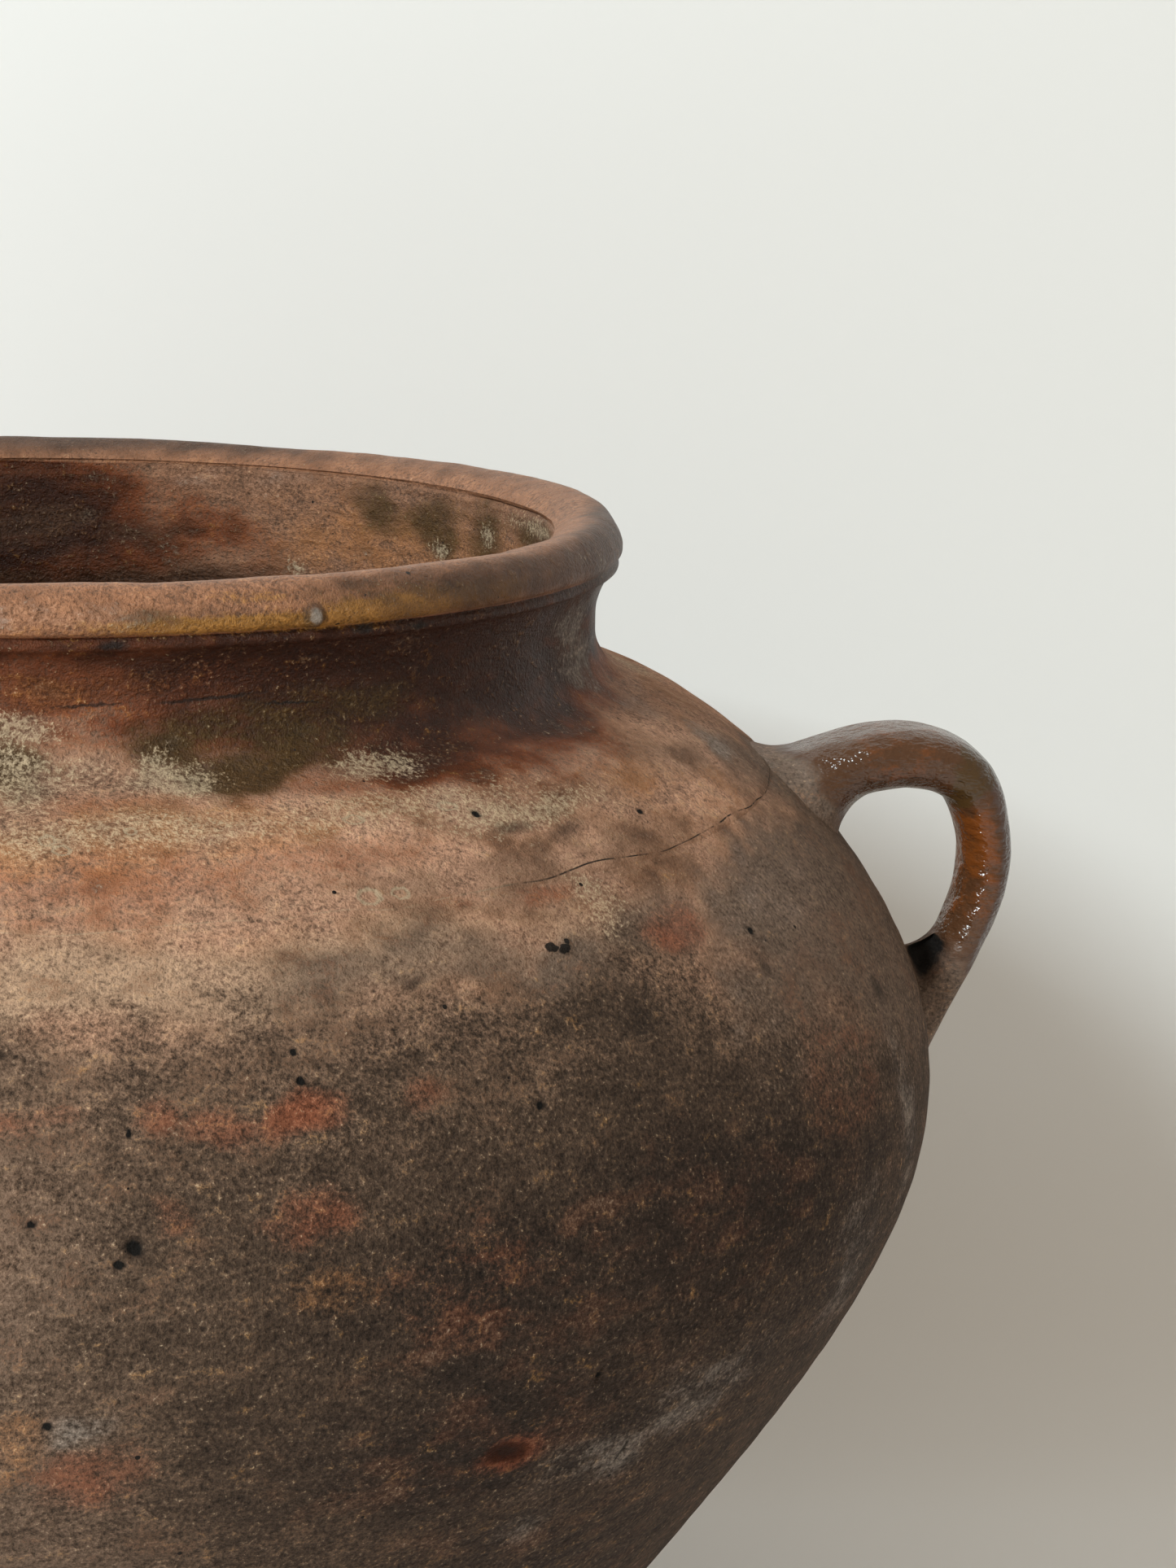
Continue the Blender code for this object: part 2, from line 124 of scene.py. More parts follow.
# Roots: height, reach up and down the wall, half width, egg shape, and how far the flare hugs
# the wall and then the strap, on the loop's side and on the outer side
UPPER_ROOT = {
    "place": STRAP_START,
    "away": 1,
    "height": 247 * MM,
    "up": 12.5 * MM,
    "down": 13.8 * MM,
    "half_width": 21.5 * MM,
    "egg": 0.22,
    "wall_pull": (0.32, 0.52),
    "strap_pull": (0.28, 0.52),
}
LOWER_ROOT = {
    "place": STRAP_END,
    "away": -1,
    "height": 192 * MM,
    "up": 18.5 * MM,
    "down": 26 * MM,
    "half_width": 11 * MM,
    "egg": 0.42,
    "wall_pull": (0.30, 0.54),
    "strap_pull": (0.30, 0.42),
}
ROOT_SINK = 0.9 * MM

# Facets: columns round the wheel's axis, crowded where the urn's front faces the window, rings
# of the handles, and the angle from which an edge is sharp
COLUMNS = 720
FRONT_FROM, FRONT_TO = math.radians(-102), math.radians(14)
FRONT_FADE = math.radians(12)
FRONT_CROWDING = 2.4
RING_COLUMNS = 112
RING_ANGLES = 2 * math.pi * np.arange(RING_COLUMNS) / RING_COLUMNS
STRAP_ROWS = 190
FLARE_ROWS = 60
SHARP_FROM = math.radians(48)

# Colour fields that a surface carries, each a strength at every point
FIELDS = (
    "soot", "sand", "tan", "ash", "seam", "red", "ochre", "olive", "lime", "bloom_and_sheen", "gold", "mauve",
    "iron", "lip", "throat", "dense", "thin",
)  # fmt: skip
# Soot as (azimuth in degrees, height of its upper edge in mm, depth of colour, share of it that
# comes in at the edge at once), and how far the soot takes to come in and to reach its depth
SOOT = (
    (-150, 238, 0.7, 0.6), (-120, 232, 0.62, 0.6), (-95, 240, 0.52, 0.7), (-86, 242, 0.56, 0.7),
    (-76, 244, 0.78, 0.65), (-66, 246, 0.86, 0.5), (-58, 248, 0.92, 0.5), (-50, 250, 0.96, 0.5),
    (-44, 248, 0.95, 0.3), (-38, 242, 0.92, 0.1), (-30, 232, 0.9, 0.0), (-20, 232, 0.8, 0.05),
    (-8, 240, 0.62, 0.1), (2, 240, 0.6, 0.3), (14, 236, 0.6, 0.5), (30, 226, 0.6, 0.6),
    (70, 240, 0.8, 0.6), (120, 232, 0.55, 0.6), (165, 243, 0.85, 0.6),
)  # fmt: skip
SOOT_EDGE_FADE = 12 * MM
SOOT_FULL_FADE = 50 * MM
# Neck slip as (azimuth, height at which it starts, depth), and how far it takes to come in
SLIP = (
    (-120, 266, 0.9), (-92, 268, 0.66), (-80, 268, 0.74), (-70, 265, 0.9), (-58, 262, 1.0),
    (-44, 261.5, 1.0), (-30, 260, 1.0), (-16, 264, 0.95), (20, 266, 0.8), (70, 272, 1.0),
    (130, 267, 0.7), (190, 271, 1.0), (225, 268, 0.8),
)  # fmt: skip
SLIP_FADE = 17 * MM
# Stains outside by kind, each as azimuth in degrees, height, half width and half height along
# the wall in mm, and strength. Heights above the crest run on down the lip's inner side.
STAINS = {
    "sand": (
        (-76, 245, 70, 10, 1), (-50, 244, 30, 10, 0.7), (-86, 264, 50, 7, 0.55),
        (-20, 240, 50, 8, 0.4), (60, 244, 150, 9, 0.8), (190, 243, 190, 9, 0.7),
    ),
    "dense": (
        (-47, 192, 40, 20, 1.1), (-62, 162, 38, 14, 1.3), (-53, 237, 20, 10, 1.1),
        (-58, 184, 34, 18, 0.9),
    ),
    "thin": (
        (-64, 214, 34, 16, 0.45), (-18, 226, 34, 20, 0.7), (-30, 205, 10, 10, 0.6),
        (-76, 196, 20, 12, 0.4), (-86, 172, 40, 30, 0.5), (-74, 150, 20, 10, 0.5),
        (-68, 234, 20, 8, 0.7), (-66, 240, 26, 7, 1.2), (-36, 226, 16, 10, 0.5),
        (-84, 140, 60, 16, 0.8), (-80, 152, 44, 16, 0.45), (-90, 206, 28, 28, 0.8),
        (40, 150, 60, 40, 0.8), (95, 205, 70, 30, 0.9), (150, 90, 70, 50, 0.9),
        (215, 190, 60, 34, 0.8),
    ),
    "tan": (
        (-46, 262, 40, 9, 0.55), (-40, 250, 46, 8, 0.6), (-60, 244, 60, 8, 0.35),
        (-50, 255, 54, 8, 0.35), (-26, 266, 20, 7, 0.6), (-12, 249, 26, 18, 0.75),
        (-2, 250, 34, 24, 0.9), (-12, 257, 34, 12, 0.6), (178, 244, 40, 20, 0.8),
        (100, 262, 50, 10, 0.6), (230, 258, 50, 10, 0.6),
    ),
    "ash": (
        (-22, 238, 44, 16, 1.1), (-16, 222, 44, 26, 1.1), (-4, 240, 30, 24, 1),
        (-30, 206, 14, 20, 0.8), (-33, 225, 28, 15, 0.8), (-20, 207, 30, 24, 1),
        (-52, 240, 24, 8, 0.8), (-38, 219, 22, 20, 0.6), (-34, 235, 24, 8, 0.5),
        (-22, 262, 30, 8, 0.4), (-10, 256, 24, 12, 0.5), (-52, 254, 56, 8, 0.35),
        (-42, 242, 18, 8, 0.7), (-62, 243, 40, 7, 0.5), (-80, 204, 40, 30, 0.5),
        (176, 236, 50, 26, 0.9), (120, 215, 60, 20, 0.6), (20, 200, 60, 30, 0.6),
    ),
    "red": (
        (-71.1, 224.2, 9, 4.4, 1.15), (-75.5, 223.6, 10, 3.6, 0.7), (-79.2, 225.2, 5, 3.6, 0.7),
        (-64.4, 223.5, 6, 3, 0.6), (-86, 225, 10, 3, 0.6), (-70.3, 209, 10, 7, 0.8),
        (-78.4, 210, 5, 4, 0.5), (-40.4, 241, 10, 6, 0.95), (-49, 250.2, 11, 3, 0.75),
        (-46, 247, 8, 4, 0.6), (-56.5, 251.5, 8, 2.4, 0.5), (-84, 253.4, 30, 3.4, 0.6),
        (-62, 268.5, 26, 6, 0.5), (-79, 269, 14, 7, 0.5), (-30.7, 207, 24, 18, 0.4),
        (-82.5, 161.5, 14, 9, 0.7), (-59, 156.6, 8, 5, 0.9), (-62, 194, 22, 14, 0.35),
        (-80, 285, 44, 8, 0.45), (-80, 258, 50, 8, 0.7), (-64, 259, 30, 5, 0.6),
        (-84, 268, 26, 6, 0.6),
    ),
    "ochre": (
        (-70.3, 261.4, 14, 4, 1), (-66, 264.5, 40, 7, 0.7), (-84, 263, 40, 9, 0.95),
        (-31, 260.5, 20, 9, 0.6), (-22, 257, 20, 8, 0.5), (-70.4, 195.4, 10, 7, 0.5),
        (-88, 172, 12, 9, 0.6), (-84, 288, 30, 6, 0.5),
    ),
    "olive": (
        (-74, 275, 16, 8, 0.85), (-67.5, 271, 17, 8.5, 1.1), (-61, 272, 16, 8, 1),
        (-68, 279, 26, 6, 0.7), (-87, 274, 9, 10, 0.9), (-56, 281, 22, 5, 0.6),
        (-72, 301, 14, 2, 0.5), (-40, 301.5, 22, 3, 0.3), (-56, 303, 22, 2, 0.3),
    ),
    "lime": (
        (-74.8, 270.5, 13, 7, 1.1), (-87, 272, 12, 14, 0.8), (-86, 281, 9, 3.5, 1),
        (-54.6, 270, 11, 5, 0.95), (-47, 261.8, 26, 5, 0.9), (-78, 264, 44, 6, 0.78),
        (-56, 264.5, 36, 6, 0.75), (-45.5, 248.5, 8, 8, 0.7),
    ),
    # grey salts; the patches from azimuth -38 to -2 along the right limb are a painted sheen, not
    # salts
    "bloom_and_sheen": (
        (-19, 283, 14, 13, 1.1), (-16, 268.5, 20, 8, 1), (-11, 261, 16, 9, 0.8),
        (-2, 254, 14, 10, 0.5), (-83.5, 173, 8, 5, 0.95), (-44, 158, 20, 9, 0.85),
        (-52, 150, 15, 8, 0.85), (-29, 170, 14, 18, 0.7), (-20.5, 194, 8, 24, 0.7),
        (-38, 222, 14, 18, 0.5), (-28, 240, 30, 14, 0.5), (-55.5, 136.5, 7, 6, 0.7),
        (-82, 301, 17, 3, 0.6),
    ),
    "gold": (
        (-62, 298.6, 44, 2.4, 1.5), (-47, 300.2, 32, 3.2, 1.4), (-66, 303.5, 9, 1.5, 0.6),
        (-38, 299, 20, 2.2, 0.55),
    ),
    "mauve": (
        (-36, 301.5, 44, 7, 0.95), (-8, 302, 44, 10, 1.2), (-50, 304.5, 30, 2.6, 0.5),
        (40, 309, 60, 6, 0.4), (92, 306, 84, 9, 0.95),
    ),
}  # fmt: skip
# Stains of the throat, in the same terms
THROAT_STAINS = {
    "iron": (
        (100, 286, 42, 22, 1.1), (76, 284, 26, 10, 0.45),
    ),
    "olive": (
        (47, 294, 8, 9, 0.9), (38, 292, 14, 10, 0.95), (27, 291, 10, 12, 0.85),
        (13, 296, 20, 6, 0.9), (180, 294, 30, 5, 0.8),
    ),
    "ochre": (
        (35, 287, 60, 14, 0.9), (60, 296, 30, 5, 0.45), (-20, 290, 60, 12, 0.5),
        (220, 290, 60, 10, 0.7),
    ),
    # painted highlight: the window's reflection on the throat's upper wall, not salts
    "bloom_and_sheen": (
        (66, 298, 22, 5, 0.65),
    ),
    "mauve": (
        (97, 287, 18, 6, 0.9), (82, 285, 16, 4, 0.6), (70, 269, 140, 10, 1.3),
        (112, 292, 30, 7, 0.9), (250, 272, 200, 10, 1.3),
    ),
    "soot": (
        (70, 262, 200, 8, 2.2), (250, 264, 200, 8, 2.2),
    ),
    "lime": (
        (37.4, 287, 4, 3, 1), (27, 292.3, 3.6, 3.4, 1), (60.5, 278, 2.6, 2.6, 1),
        (12, 298, 22, 3, 0.8),
    ),
}  # fmt: skip
# Small marks by kind, each as azimuth, height, half width and half height in mm, tilt in
# degrees, and relief in mm
MARKS = {
    "pit": (
        (-80.4, 204.9, 1.5, 1.5, 0, -1.1), (-81.2, 202.6, 0.9, 0.8, 0, -0.6),
        (-85.5, 209.4, 0.7, 0.7, 0, -0.5), (-70.9, 232.7, 0.6, 0.7, 0, -0.5),
        (-70.8, 228.4, 0.8, 0.8, 0, -0.6), (-80.4, 222.5, 0.6, 0.7, 0, -0.4),
        (-84.8, 174.8, 0.9, 0.8, 20, -0.7), (-54.2, 169.2, 0.7, 0.6, 0, -0.8),
        (-50.9, 262.7, 0.9, 0.9, 0, -0.5), (-34.8, 258.1, 0.9, 0.7, 0, -0.4),
        (-56.9, 219.6, 0.9, 0.8, 0, -0.5), (-33.2, 236.5, 0.9, 0.9, 0, -0.4),
    ),
    "blob": (
        (-52, 242.3, 1.5, 1.2, -8, 0.8), (-51.1, 241.7, 1.7, 1, 14, 0.9),
        (-50.6, 242.7, 0.8, 0.7, 0, 0.6),
    ),
    "smear": (
        (-62.5, 240.4, 2.2, 0.8, 28, 0), (-47.7, 228.7, 4.2, 2.8, 25, -0.25),
        (-48.8, 259.9, 4.4, 1.5, 0, 0), (-44, 258.2, 5, 1.6, 10, 0), (-34.2, 230.9, 2, 2.2, 30, 0),
        (-20.4, 216.6, 3, 2.6, 0, 0),
    ),
    "chip": (
        (-59.2, 156.6, 5, 2.6, -12, -0.9),
    ),
    "pop": (
        (-84.3, 263.8, 1.5, 1.3, 0, -0.25), (-83.3, 262.5, 1.5, 1.2, 0, -0.2),
        (-78.3, 264.7, 1, 0.9, 0, -0.2), (-61.3, 264.1, 2, 1.1, -10, -0.2),
        (-63.1, 253.5, 2.1, 1.7, 0, -0.4), (-60.8, 253.5, 1.5, 1.3, 0, -0.3),
        (-52.8, 264.3, 1.9, 1.2, 0, -0.25),
    ),
    "crack": (
        (-49.8, 148.6, 0.45, 8, -20, -0.5), (-80.5, 283.8, 7, 0.35, 2, -0.15),
        (-70, 284.2, 11, 0.4, 3, -0.2), (-62, 282.4, 7, 0.3, -4, -0.15),
        (-78.7, 295.6, 3, 0.8, 0, -0.5), (-56, 296.2, 2.8, 0.9, 4, -0.6),
        (-50, 295.6, 2.2, 0.6, 0, -0.4),
    ),
    "lump": (
        (-61.3, 299.4, 1.7, 2, 0, 0.8),
    ),
}  # fmt: skip
# Stains on the sides that the photograph doesn't show, by kind: how many, their lowest and
# highest height, least and most half width, strength
HIDDEN_STAINS = {
    "red": (18, 120, 255, 4, 13, 0.8),
    "ochre": (9, 236, 268, 8, 24, 0.7),
    "olive": (6, 268, 282, 8, 18, 1.0),
    "lime": (13, 248, 284, 5, 14, 0.85),
    "bloom_and_sheen": (14, 40, 285, 5, 20, 0.8),
    "gold": (5, 298, 303, 12, 30, 0.9),
    "mauve": (5, 298, 305, 10, 30, 0.9),
}
HIDDEN_AZIMUTHS = (8, 262)
HIDDEN_SEED = 17
# Height in mm above which a hidden stain is a streak on the lip, at most so many mm high
STREAK_FROM, STREAK_HEIGHT = 290, 3
# Height from which the stains' edges are calm
CALM_FROM = 294 * MM
# How deep a small mark reaches into the wall in the shader, and how far its relief is worked out
MARK_DEPTH, MARK_REACH = 4 * MM, 15 * MM
# Azimuths in degrees about which the shoulder's seam opened: its dark line, and its depth
SEAM_DARKEST, SEAM_DEEPEST = -28, -24
# Ash-grey clay under full soot, as a share
ASH_UNDER_SOOT = 0.65
# The coil of the rim is less even than the wall
RIM_UNEVENNESS = 1.7
# Hollow pressed into the lower root under the strap
HOLLOW_DEPTH = 5.2 * MM
# Specular levels and roughness of bare clay, melted slip and wet glaze
BARE_GLOSS, SLIP_GLOSS, GLAZE_GLOSS = 0.15, 0.24, 0.5
BARE_ROUGHNESS, GLAZE_ROUGHNESS = 0.88, 0.18

# Paper sweep: front edge, upper edge, half width and radius of its bend, in metres
PAPER_FRONT, PAPER_TOP, PAPER_HALF_WIDTH, PAPER_BEND = -3.2, 3.0, 3.5, 0.1
WINDOW_PLACE = (-0.93, -1.32, 1.25)
WINDOW_TARGET = (0.0, 0.0, 0.2)
WINDOW_SIZE = (0.3, 0.34)
# The photograph's view: a long lens 0.75 m in front, a little above the rim and to the right,
# turned from +Y towards +X and dipped by these degrees, and rolled by these radians
CAMERA_PLACE = (0.06531, -0.74650, 0.40167)
CAMERA_TURN, CAMERA_DIP, CAMERA_ROLL = 4.1807, 11.8177, 0.0232122
CAMERA_LENS, CAMERA_SENSOR = 80.09, 36


def distance(name, description, default):
    """Length setting in metres."""
    return FloatProperty(name=name, description=description, default=default, unit="LENGTH")


class UrnRelief(PropertyGroup):
    """How far the fired surface stands off a smooth turned one."""

    throwing_ridge: distance(
        "Throwing ridge", "Height of the ridges that the potter's fingers leave outside", 0.09 * MM
    )
    ridge_spacing: distance(
        "Ridge spacing", "Climb of the fingers for each turn of the wheel", 8.5 * MM
    )
    throat_ridge: distance(
        "Throat ridge", "Height of the ridges inside, which nobody smoothed", 0.26 * MM
    )
    throat_spacing: distance(
        "Throat ridge spacing", "Distance between the ridges inside", 3.6 * MM
    )
    lump: distance("Lumps", "Height of the broad unevenness of the hand-thrown wall", 0.42 * MM)
    grain: distance("Grain", "Height of the sand grains that stand out of the clay", 0.42 * MM)
    pucker: distance("Pucker", "Height of the handle glaze's orange peel", 0.6 * MM)
    seam: distance(
        "Shoulder seam", "Depth of the open hairline where the shoulder is luted on", 0.35 * MM
    )


def linear(code):
    """Linear colour of an sRGB hex value."""
    parts = [int(code[i : i + 2], 16) / 255 for i in (1, 3, 5)]
    return tuple(p / 12.92 if p <= 0.04045 else ((p + 0.055) / 1.055) ** 2.4 for p in parts)


def colour(name, description, code):
    """Colour setting whose default is an sRGB hex value."""
    limits = {"default": linear(code), "min": 0, "max": 1}
    return FloatVectorProperty(name=name, description=description, subtype="COLOR", **limits)


class UrnClay(PropertyGroup):
    """Colours of the unglazed, smoke-fired wall."""

    pink: colour("Pink clay", "Oxidised clay where the flame was clean", "#cc9c80")
    brown: colour("Brown clay", "Body clay under a thin veil of smoke", "#98735c")
    sand: colour("Sand", "Grey-beige sandy band round the upper belly", "#ae9076")
    tan: colour("Tan", "Browner clay round the handles and under the neck", "#5f4431")
    ash: colour("Ash", "Clay greyed by thin smoke below and behind the handles", "#6e5c4f")
    smoke: colour("Smoke", "Brown smoke staining", "#5b483a")
    dusk: colour("Dusk", "Dark smoke staining", "#3b2e26")
    soot: colour("Soot", "Darkest smoke staining", "#231c18")
    iron: colour("Iron red", "Flashes where iron burnt red", "#965034")
    ochre: colour("Ochre", "Warm ochre that clouds the pink clay", "#bb875f")
    orange: colour("Orange", "Orange flashes on the shoulder", "#b3743f")
    olive: colour("Olive", "Remains of ash glaze round the neck's foot", "#483419")
    lime: colour("Lime", "Lime specks and rings that popped in the fire", "#b5a084")
    # grey salts, and also the painted sheen along the right limb and a painted highlight inside the
    # throat
    bloom_and_sheen: colour("Bloom", "Grey salts that came out of the clay", "#988d83")
    rust: colour("Rust", "Thin red-brown slip on the neck", "#74391a")
    neck: colour("Neck slip", "Thick dark slip under the bead", "#311508")
    lip: colour("Lip", "Worn terracotta of the rolled lip", "#9f6c4d")
    # black slag in pits, blobs and cracks, and also the near-black painted shade in each handle's
    # hollow
    black_slag_and_shade: colour("Slag", "Black slag in pits and blobs", "#161412")
    throat: colour("Throat", "Mauve-brown clay inside", "#92684f")


class UrnGlaze(PropertyGroup):
    """Colours of the handles' run glaze and the rim's worn one."""

    amber: colour("Amber", "Thick orange-brown glaze", "#763e16")
    umber: colour("Umber", "Glaze over dark clay", "#50301a")
    plum: colour("Plum", "Purple-brown edge of the strap", "#54403a")
    rim_ochre: colour("Rim ochre", "Yellow-ochre line on the lip", "#9c6c2a")
    rim_mauve: colour("Rim mauve", "Mauve-grey lip where the glaze wore off", "#482f20")


class UrnStage(PropertyGroup):
    """Sweep, window and fill light."""

    backdrop: distance(
        "Backdrop", "Distance from the wheel's axis back to the upright part of the sweep", 0.27
    )
    paper: colour("Paper", "Pale matt paper of the sweep", "#f2f0ee")
    window: FloatProperty(
        name="Window",
        description="Power of the window's light",
        default=33.0,
        unit="POWER",
    )
    daylight: colour("Daylight", "Cool light through the window", "#edfbff")
    room: colour("Room", "Warm light that the room gives back", "#fff1dc")
    fill: FloatProperty(
        name="Fill",
        description="Strength of the light that the room gives back",
        default=0.42,
    )


def cubic(ends, share):
    """Point and direction on a cubic curve: its four ends weighted by Bernstein's polynomials."""
    share = np.asarray(share, float)[..., None]
    rest = 1 - share
    a, b, c, d = (ends[..., i, :] for i in range(4))
    point = rest**3 * a + 3 * rest**2 * share * b + 3 * rest * share**2 * c + share**3 * d
    along = rest**2 * (b - a) + 2 * rest * share * (c - b) + share**2 * (d - c)
    return point, along / np.linalg.norm(along, axis=-1, keepdims=True)


def outside(station):
    """The wall's outside at a station: its whole part numbers the curve, the rest is the share."""
    station = np.asarray(station, float)
    index = np.clip(station.astype(int), 0, len(WALL_CURVES) - 1)
    return cubic(WALL_CURVES[index], station - index)


def lip_curve(shares, count):
    """One side of the rolled lip."""
    ends = (THROAT_RADIUS, LIP_FOOT) + shares * (LIP_WIDTH, LIP_HEIGHT)
    return cubic(np.broadcast_to(ends, (count, 4, 2)), np.linspace(0, 1, count))[0]


STATIONS = np.linspace(0, 4, 4001)
OUTLINE = outside(STATIONS)[0]
UP_TO_CREST = np.concatenate([OUTLINE, GROOVE[None], lip_curve(LIP_OUTER_SHARES, 60)])
LENGTHS = np.concatenate([[0], np.cumsum(np.linalg.norm(np.diff(UP_TO_CREST, axis=0), axis=1))])


def station_at(height):
    """Station of a height on the outside, which only ever climbs."""
    return np.interp(height, OUTLINE[:, 1], STATIONS)


def length_at(height):
    """Length of outline from the foot up to a height. A height above the crest stands for that
    much more length down the lip's inner side."""
    past = np.maximum(np.asarray(height) - UP_TO_CREST[-1, 1], 0)
    return np.interp(height, UP_TO_CREST[:, 1], LENGTHS) + past


def point_at(length):
    """Radius and height of the outline at a length from the foot."""
    return np.array([np.interp(length, LENGTHS, UP_TO_CREST[:, i]) for i in (0, 1)])


def inside(station):
    """The wall's inner face: the outside moved in by the wall, and an upright throat at the top."""
    point, along = outside(station)
    climbed = np.minimum(point[:, 1:] / NECK_HEIGHT, 1)
    wall = WALL_AT_BASE + (WALL_AT_NECK - WALL_AT_BASE) * climbed
    inner = point + wall * np.stack([-along[:, 1], along[:, 0]], axis=1)
    throat = np.asarray(station) >= 3
    inner[throat] = np.stack([np.full(throat.sum(), THROAT_RADIUS), point[throat, 1]], axis=1)
    along[throat] = (0, 1)
    return inner, along


def rows_between(low, high, count):
    """Stations from one height to another, evenly spaced along the outline."""
    ends = length_at(np.array((low, high)))
    return np.interp(np.linspace(*ends, count), LENGTHS[: len(STATIONS)], STATIONS)


def lattice_noise(points, cell, seed):
    """Value noise from -1 to 1: a hashed number at each corner of a lattice of cubes so many mm
    wide, blended inside each cube by the smooth step 3s^2 - 2s^3 on all three axes."""
    place = points / (cell * MM)
    corner = np.floor(place).astype(np.int64)
    share = place - corner
    share = share * share * (3 - 2 * share)
    total = np.zeros(points.shape[:-1])
    for shift in np.ndindex(2, 2, 2):
        key = (corner + shift) * np.array((73856093, 19349663, 83492791))
        number = key[..., 0] ^ key[..., 1] ^ key[..., 2] ^ (seed * 1013904223)
        number = ((number ^ (number >> 13)) * 1274126177) & 0xFFFFFFFF
        value = ((number ^ (number >> 16)) & 0xFFFF) / 0xFFFF
        weight = np.prod(np.where(np.array(shift, bool), share, 1 - share), axis=-1)
        total += weight * value
    return 2 * total - 1


def noise_sum(points, *sizes):
    """Sum of value noises, each given as its height, its cell in mm and its seed."""
    return sum(height * lattice_noise(points, cell, seed) for height, cell, seed in sizes)


def column_angles():
    """Angles round the axis, with the crowding of the front added to an even spread."""
    fine = np.linspace(-math.pi, math.pi, 7201)
    into = np.clip((fine - FRONT_FROM) / FRONT_FADE, 0, 1)
    out = np.clip((FRONT_TO - fine) / FRONT_FADE, 0, 1)
    density = 1 + FRONT_CROWDING * into * out
    count = np.concatenate([[0], np.cumsum((density[1:] + density[:-1]) / 2)])
    return np.interp(np.arange(COLUMNS) / COLUMNS, count / count[-1], fine)


ANGLES = column_angles()


def ramp(value, start, end):
    """Smooth step 3s^2 - 2s^3 from 0 at the start to 1 at the end, whichever is the greater."""
    share = np.clip((value - start) / (end - start), 0, 1)
    return share * share * (3 - 2 * share)


def turned_by(azimuth, angle):
    """Angle from an azimuth in degrees, the short way round."""
    return (angle - math.radians(azimuth) + math.pi) % (2 * math.pi) - math.pi


def spread_of(azimuth, height, half_width, half_height, tilt, angle, radius, length):
    """Distance from a mark in shares of its half sizes, on the unrolled wall."""
    across = turned_by(azimuth, angle) * radius
    up = length - length_at(height * MM)
    cos, sin = math.cos(math.radians(tilt)), math.sin(math.radians(tilt))
    along_mark = (across * cos + up * sin) / (half_width * MM)
    return np.hypot(along_mark, (up * cos - across * sin) / (half_height * MM))


def hidden_stains():
    """Stains for the sides that the front's list doesn't reach: the same kinds and sizes, drawn
    from a seeded sequence of azimuths and heights. Those on the lip are thin streaks."""
    draw = np.random.default_rng(HIDDEN_SEED)
    for kind, (count, low, high, least, most, strength) in HIDDEN_STAINS.items():
        rows = []
        for _ in range(count):
            azimuth = draw.uniform(*HIDDEN_AZIMUTHS)
            width = draw.uniform(least, most)
            tall = width * draw.uniform(0.35, 0.7)
            if low > STREAK_FROM:
                tall = min(tall, STREAK_HEIGHT)
            rows.append((azimuth, draw.uniform(low, high), width, tall, strength))
        yield kind, rows


def stain_fields(stains, angle, radius, length, points):
    """Strength of each kind of stain at each point: the largest of its ellipses, each fading
    from full inside to none just past its edge, with the place shaken by noise. The shaking is
    held to stains of 16 by 12 mm, and calmer on the lip."""
    shake = noise_sum(points, (0.42, 30, 2), (0.3, 12, 3), (0.16, 4.5, 4))
    lift = noise_sum(points, (0.42, 26, 7), (0.34, 10, 5), (0.2, 4, 6))
    lift = lift * np.where(length > length_at(CALM_FROM), 0.35, 1)
    fields = {}
    for kind, rows in stains:
        for *ellipse, strength in rows:
            half_width, half_height = ellipse[2:]
            sway = MM * min(half_width, 16) * shake
            heave = MM * min(half_height, 12) * lift
            shaken = angle + sway / np.maximum(radius, 20 * MM)
            apart = spread_of(*ellipse, 0, shaken, radius, length + heave)
            fields[kind] = np.maximum(fields.get(kind, 0), strength * ramp(apart, 1.5, 0.25))
    return fields


def read_round(table, angle):
    """Each column of a table at each angle, straight from azimuth to azimuth all the way round."""
    azimuth, *columns = np.array(table).T
    return [np.interp(np.degrees(angle), azimuth, column, period=360) for column in columns]


def surface_fields(angle, radius, length, height, points, within):
    """All colour fields of a surface: the stains outside or those inside, and the bands that go
    all round. The soot's upper edge wanders with azimuth, with ash-grey clay under it; the neck's
    slip fades in over the foot of the neck; the lip is all that lies above its groove."""
    outer = stain_fields((*STAINS.items(), *hidden_stains()), angle, radius, length, points)
    inner = stain_fields(THROAT_STAINS.items(), angle, radius, length_at(height), points)
    fields = {}
    for kind in FIELDS:
        stained = np.where(within, inner.get(kind, 0), outer.get(kind, 0))
        fields[kind] = stained + np.zeros(angle.shape)
    outer_side = np.where(within, 0, 1)
    ragged = noise_sum(points, (8 * MM, 26, 41), (3 * MM, 8, 42))
    edge, depth, crisp = read_round(SOOT, angle)
    below = MM * edge + ragged - height
    below = crisp * ramp(below, 0, SOOT_EDGE_FADE) + (1 - crisp) * ramp(below, 0, SOOT_FULL_FADE)
    depth += noise_sum(points, (0.08, 60, 43), (0.08, 22, 44))
    depth += 0.3 * fields["dense"] - 0.3 * fields["thin"]
    fields["soot"] += outer_side * below * depth
    fields["ash"] = np.maximum(fields["ash"], outer_side * ASH_UNDER_SOOT * below)
    edge, depth = read_round(SLIP, angle)
    under_lip = height < GROOVE[1] + 1e-4
    slip = ramp(height - MM * edge + 0.4 * ragged, 0, SLIP_FADE) * depth
    fields["iron"] += outer_side * under_lip * slip
    fields["lip"] += outer_side * ~under_lip
    fields["throat"] += within
    off_opened = np.abs(turned_by(SEAM_DARKEST, angle))
    fields["seam"] += outer_side * ramp(off_opened, math.radians(31), math.radians(17))
    return fields


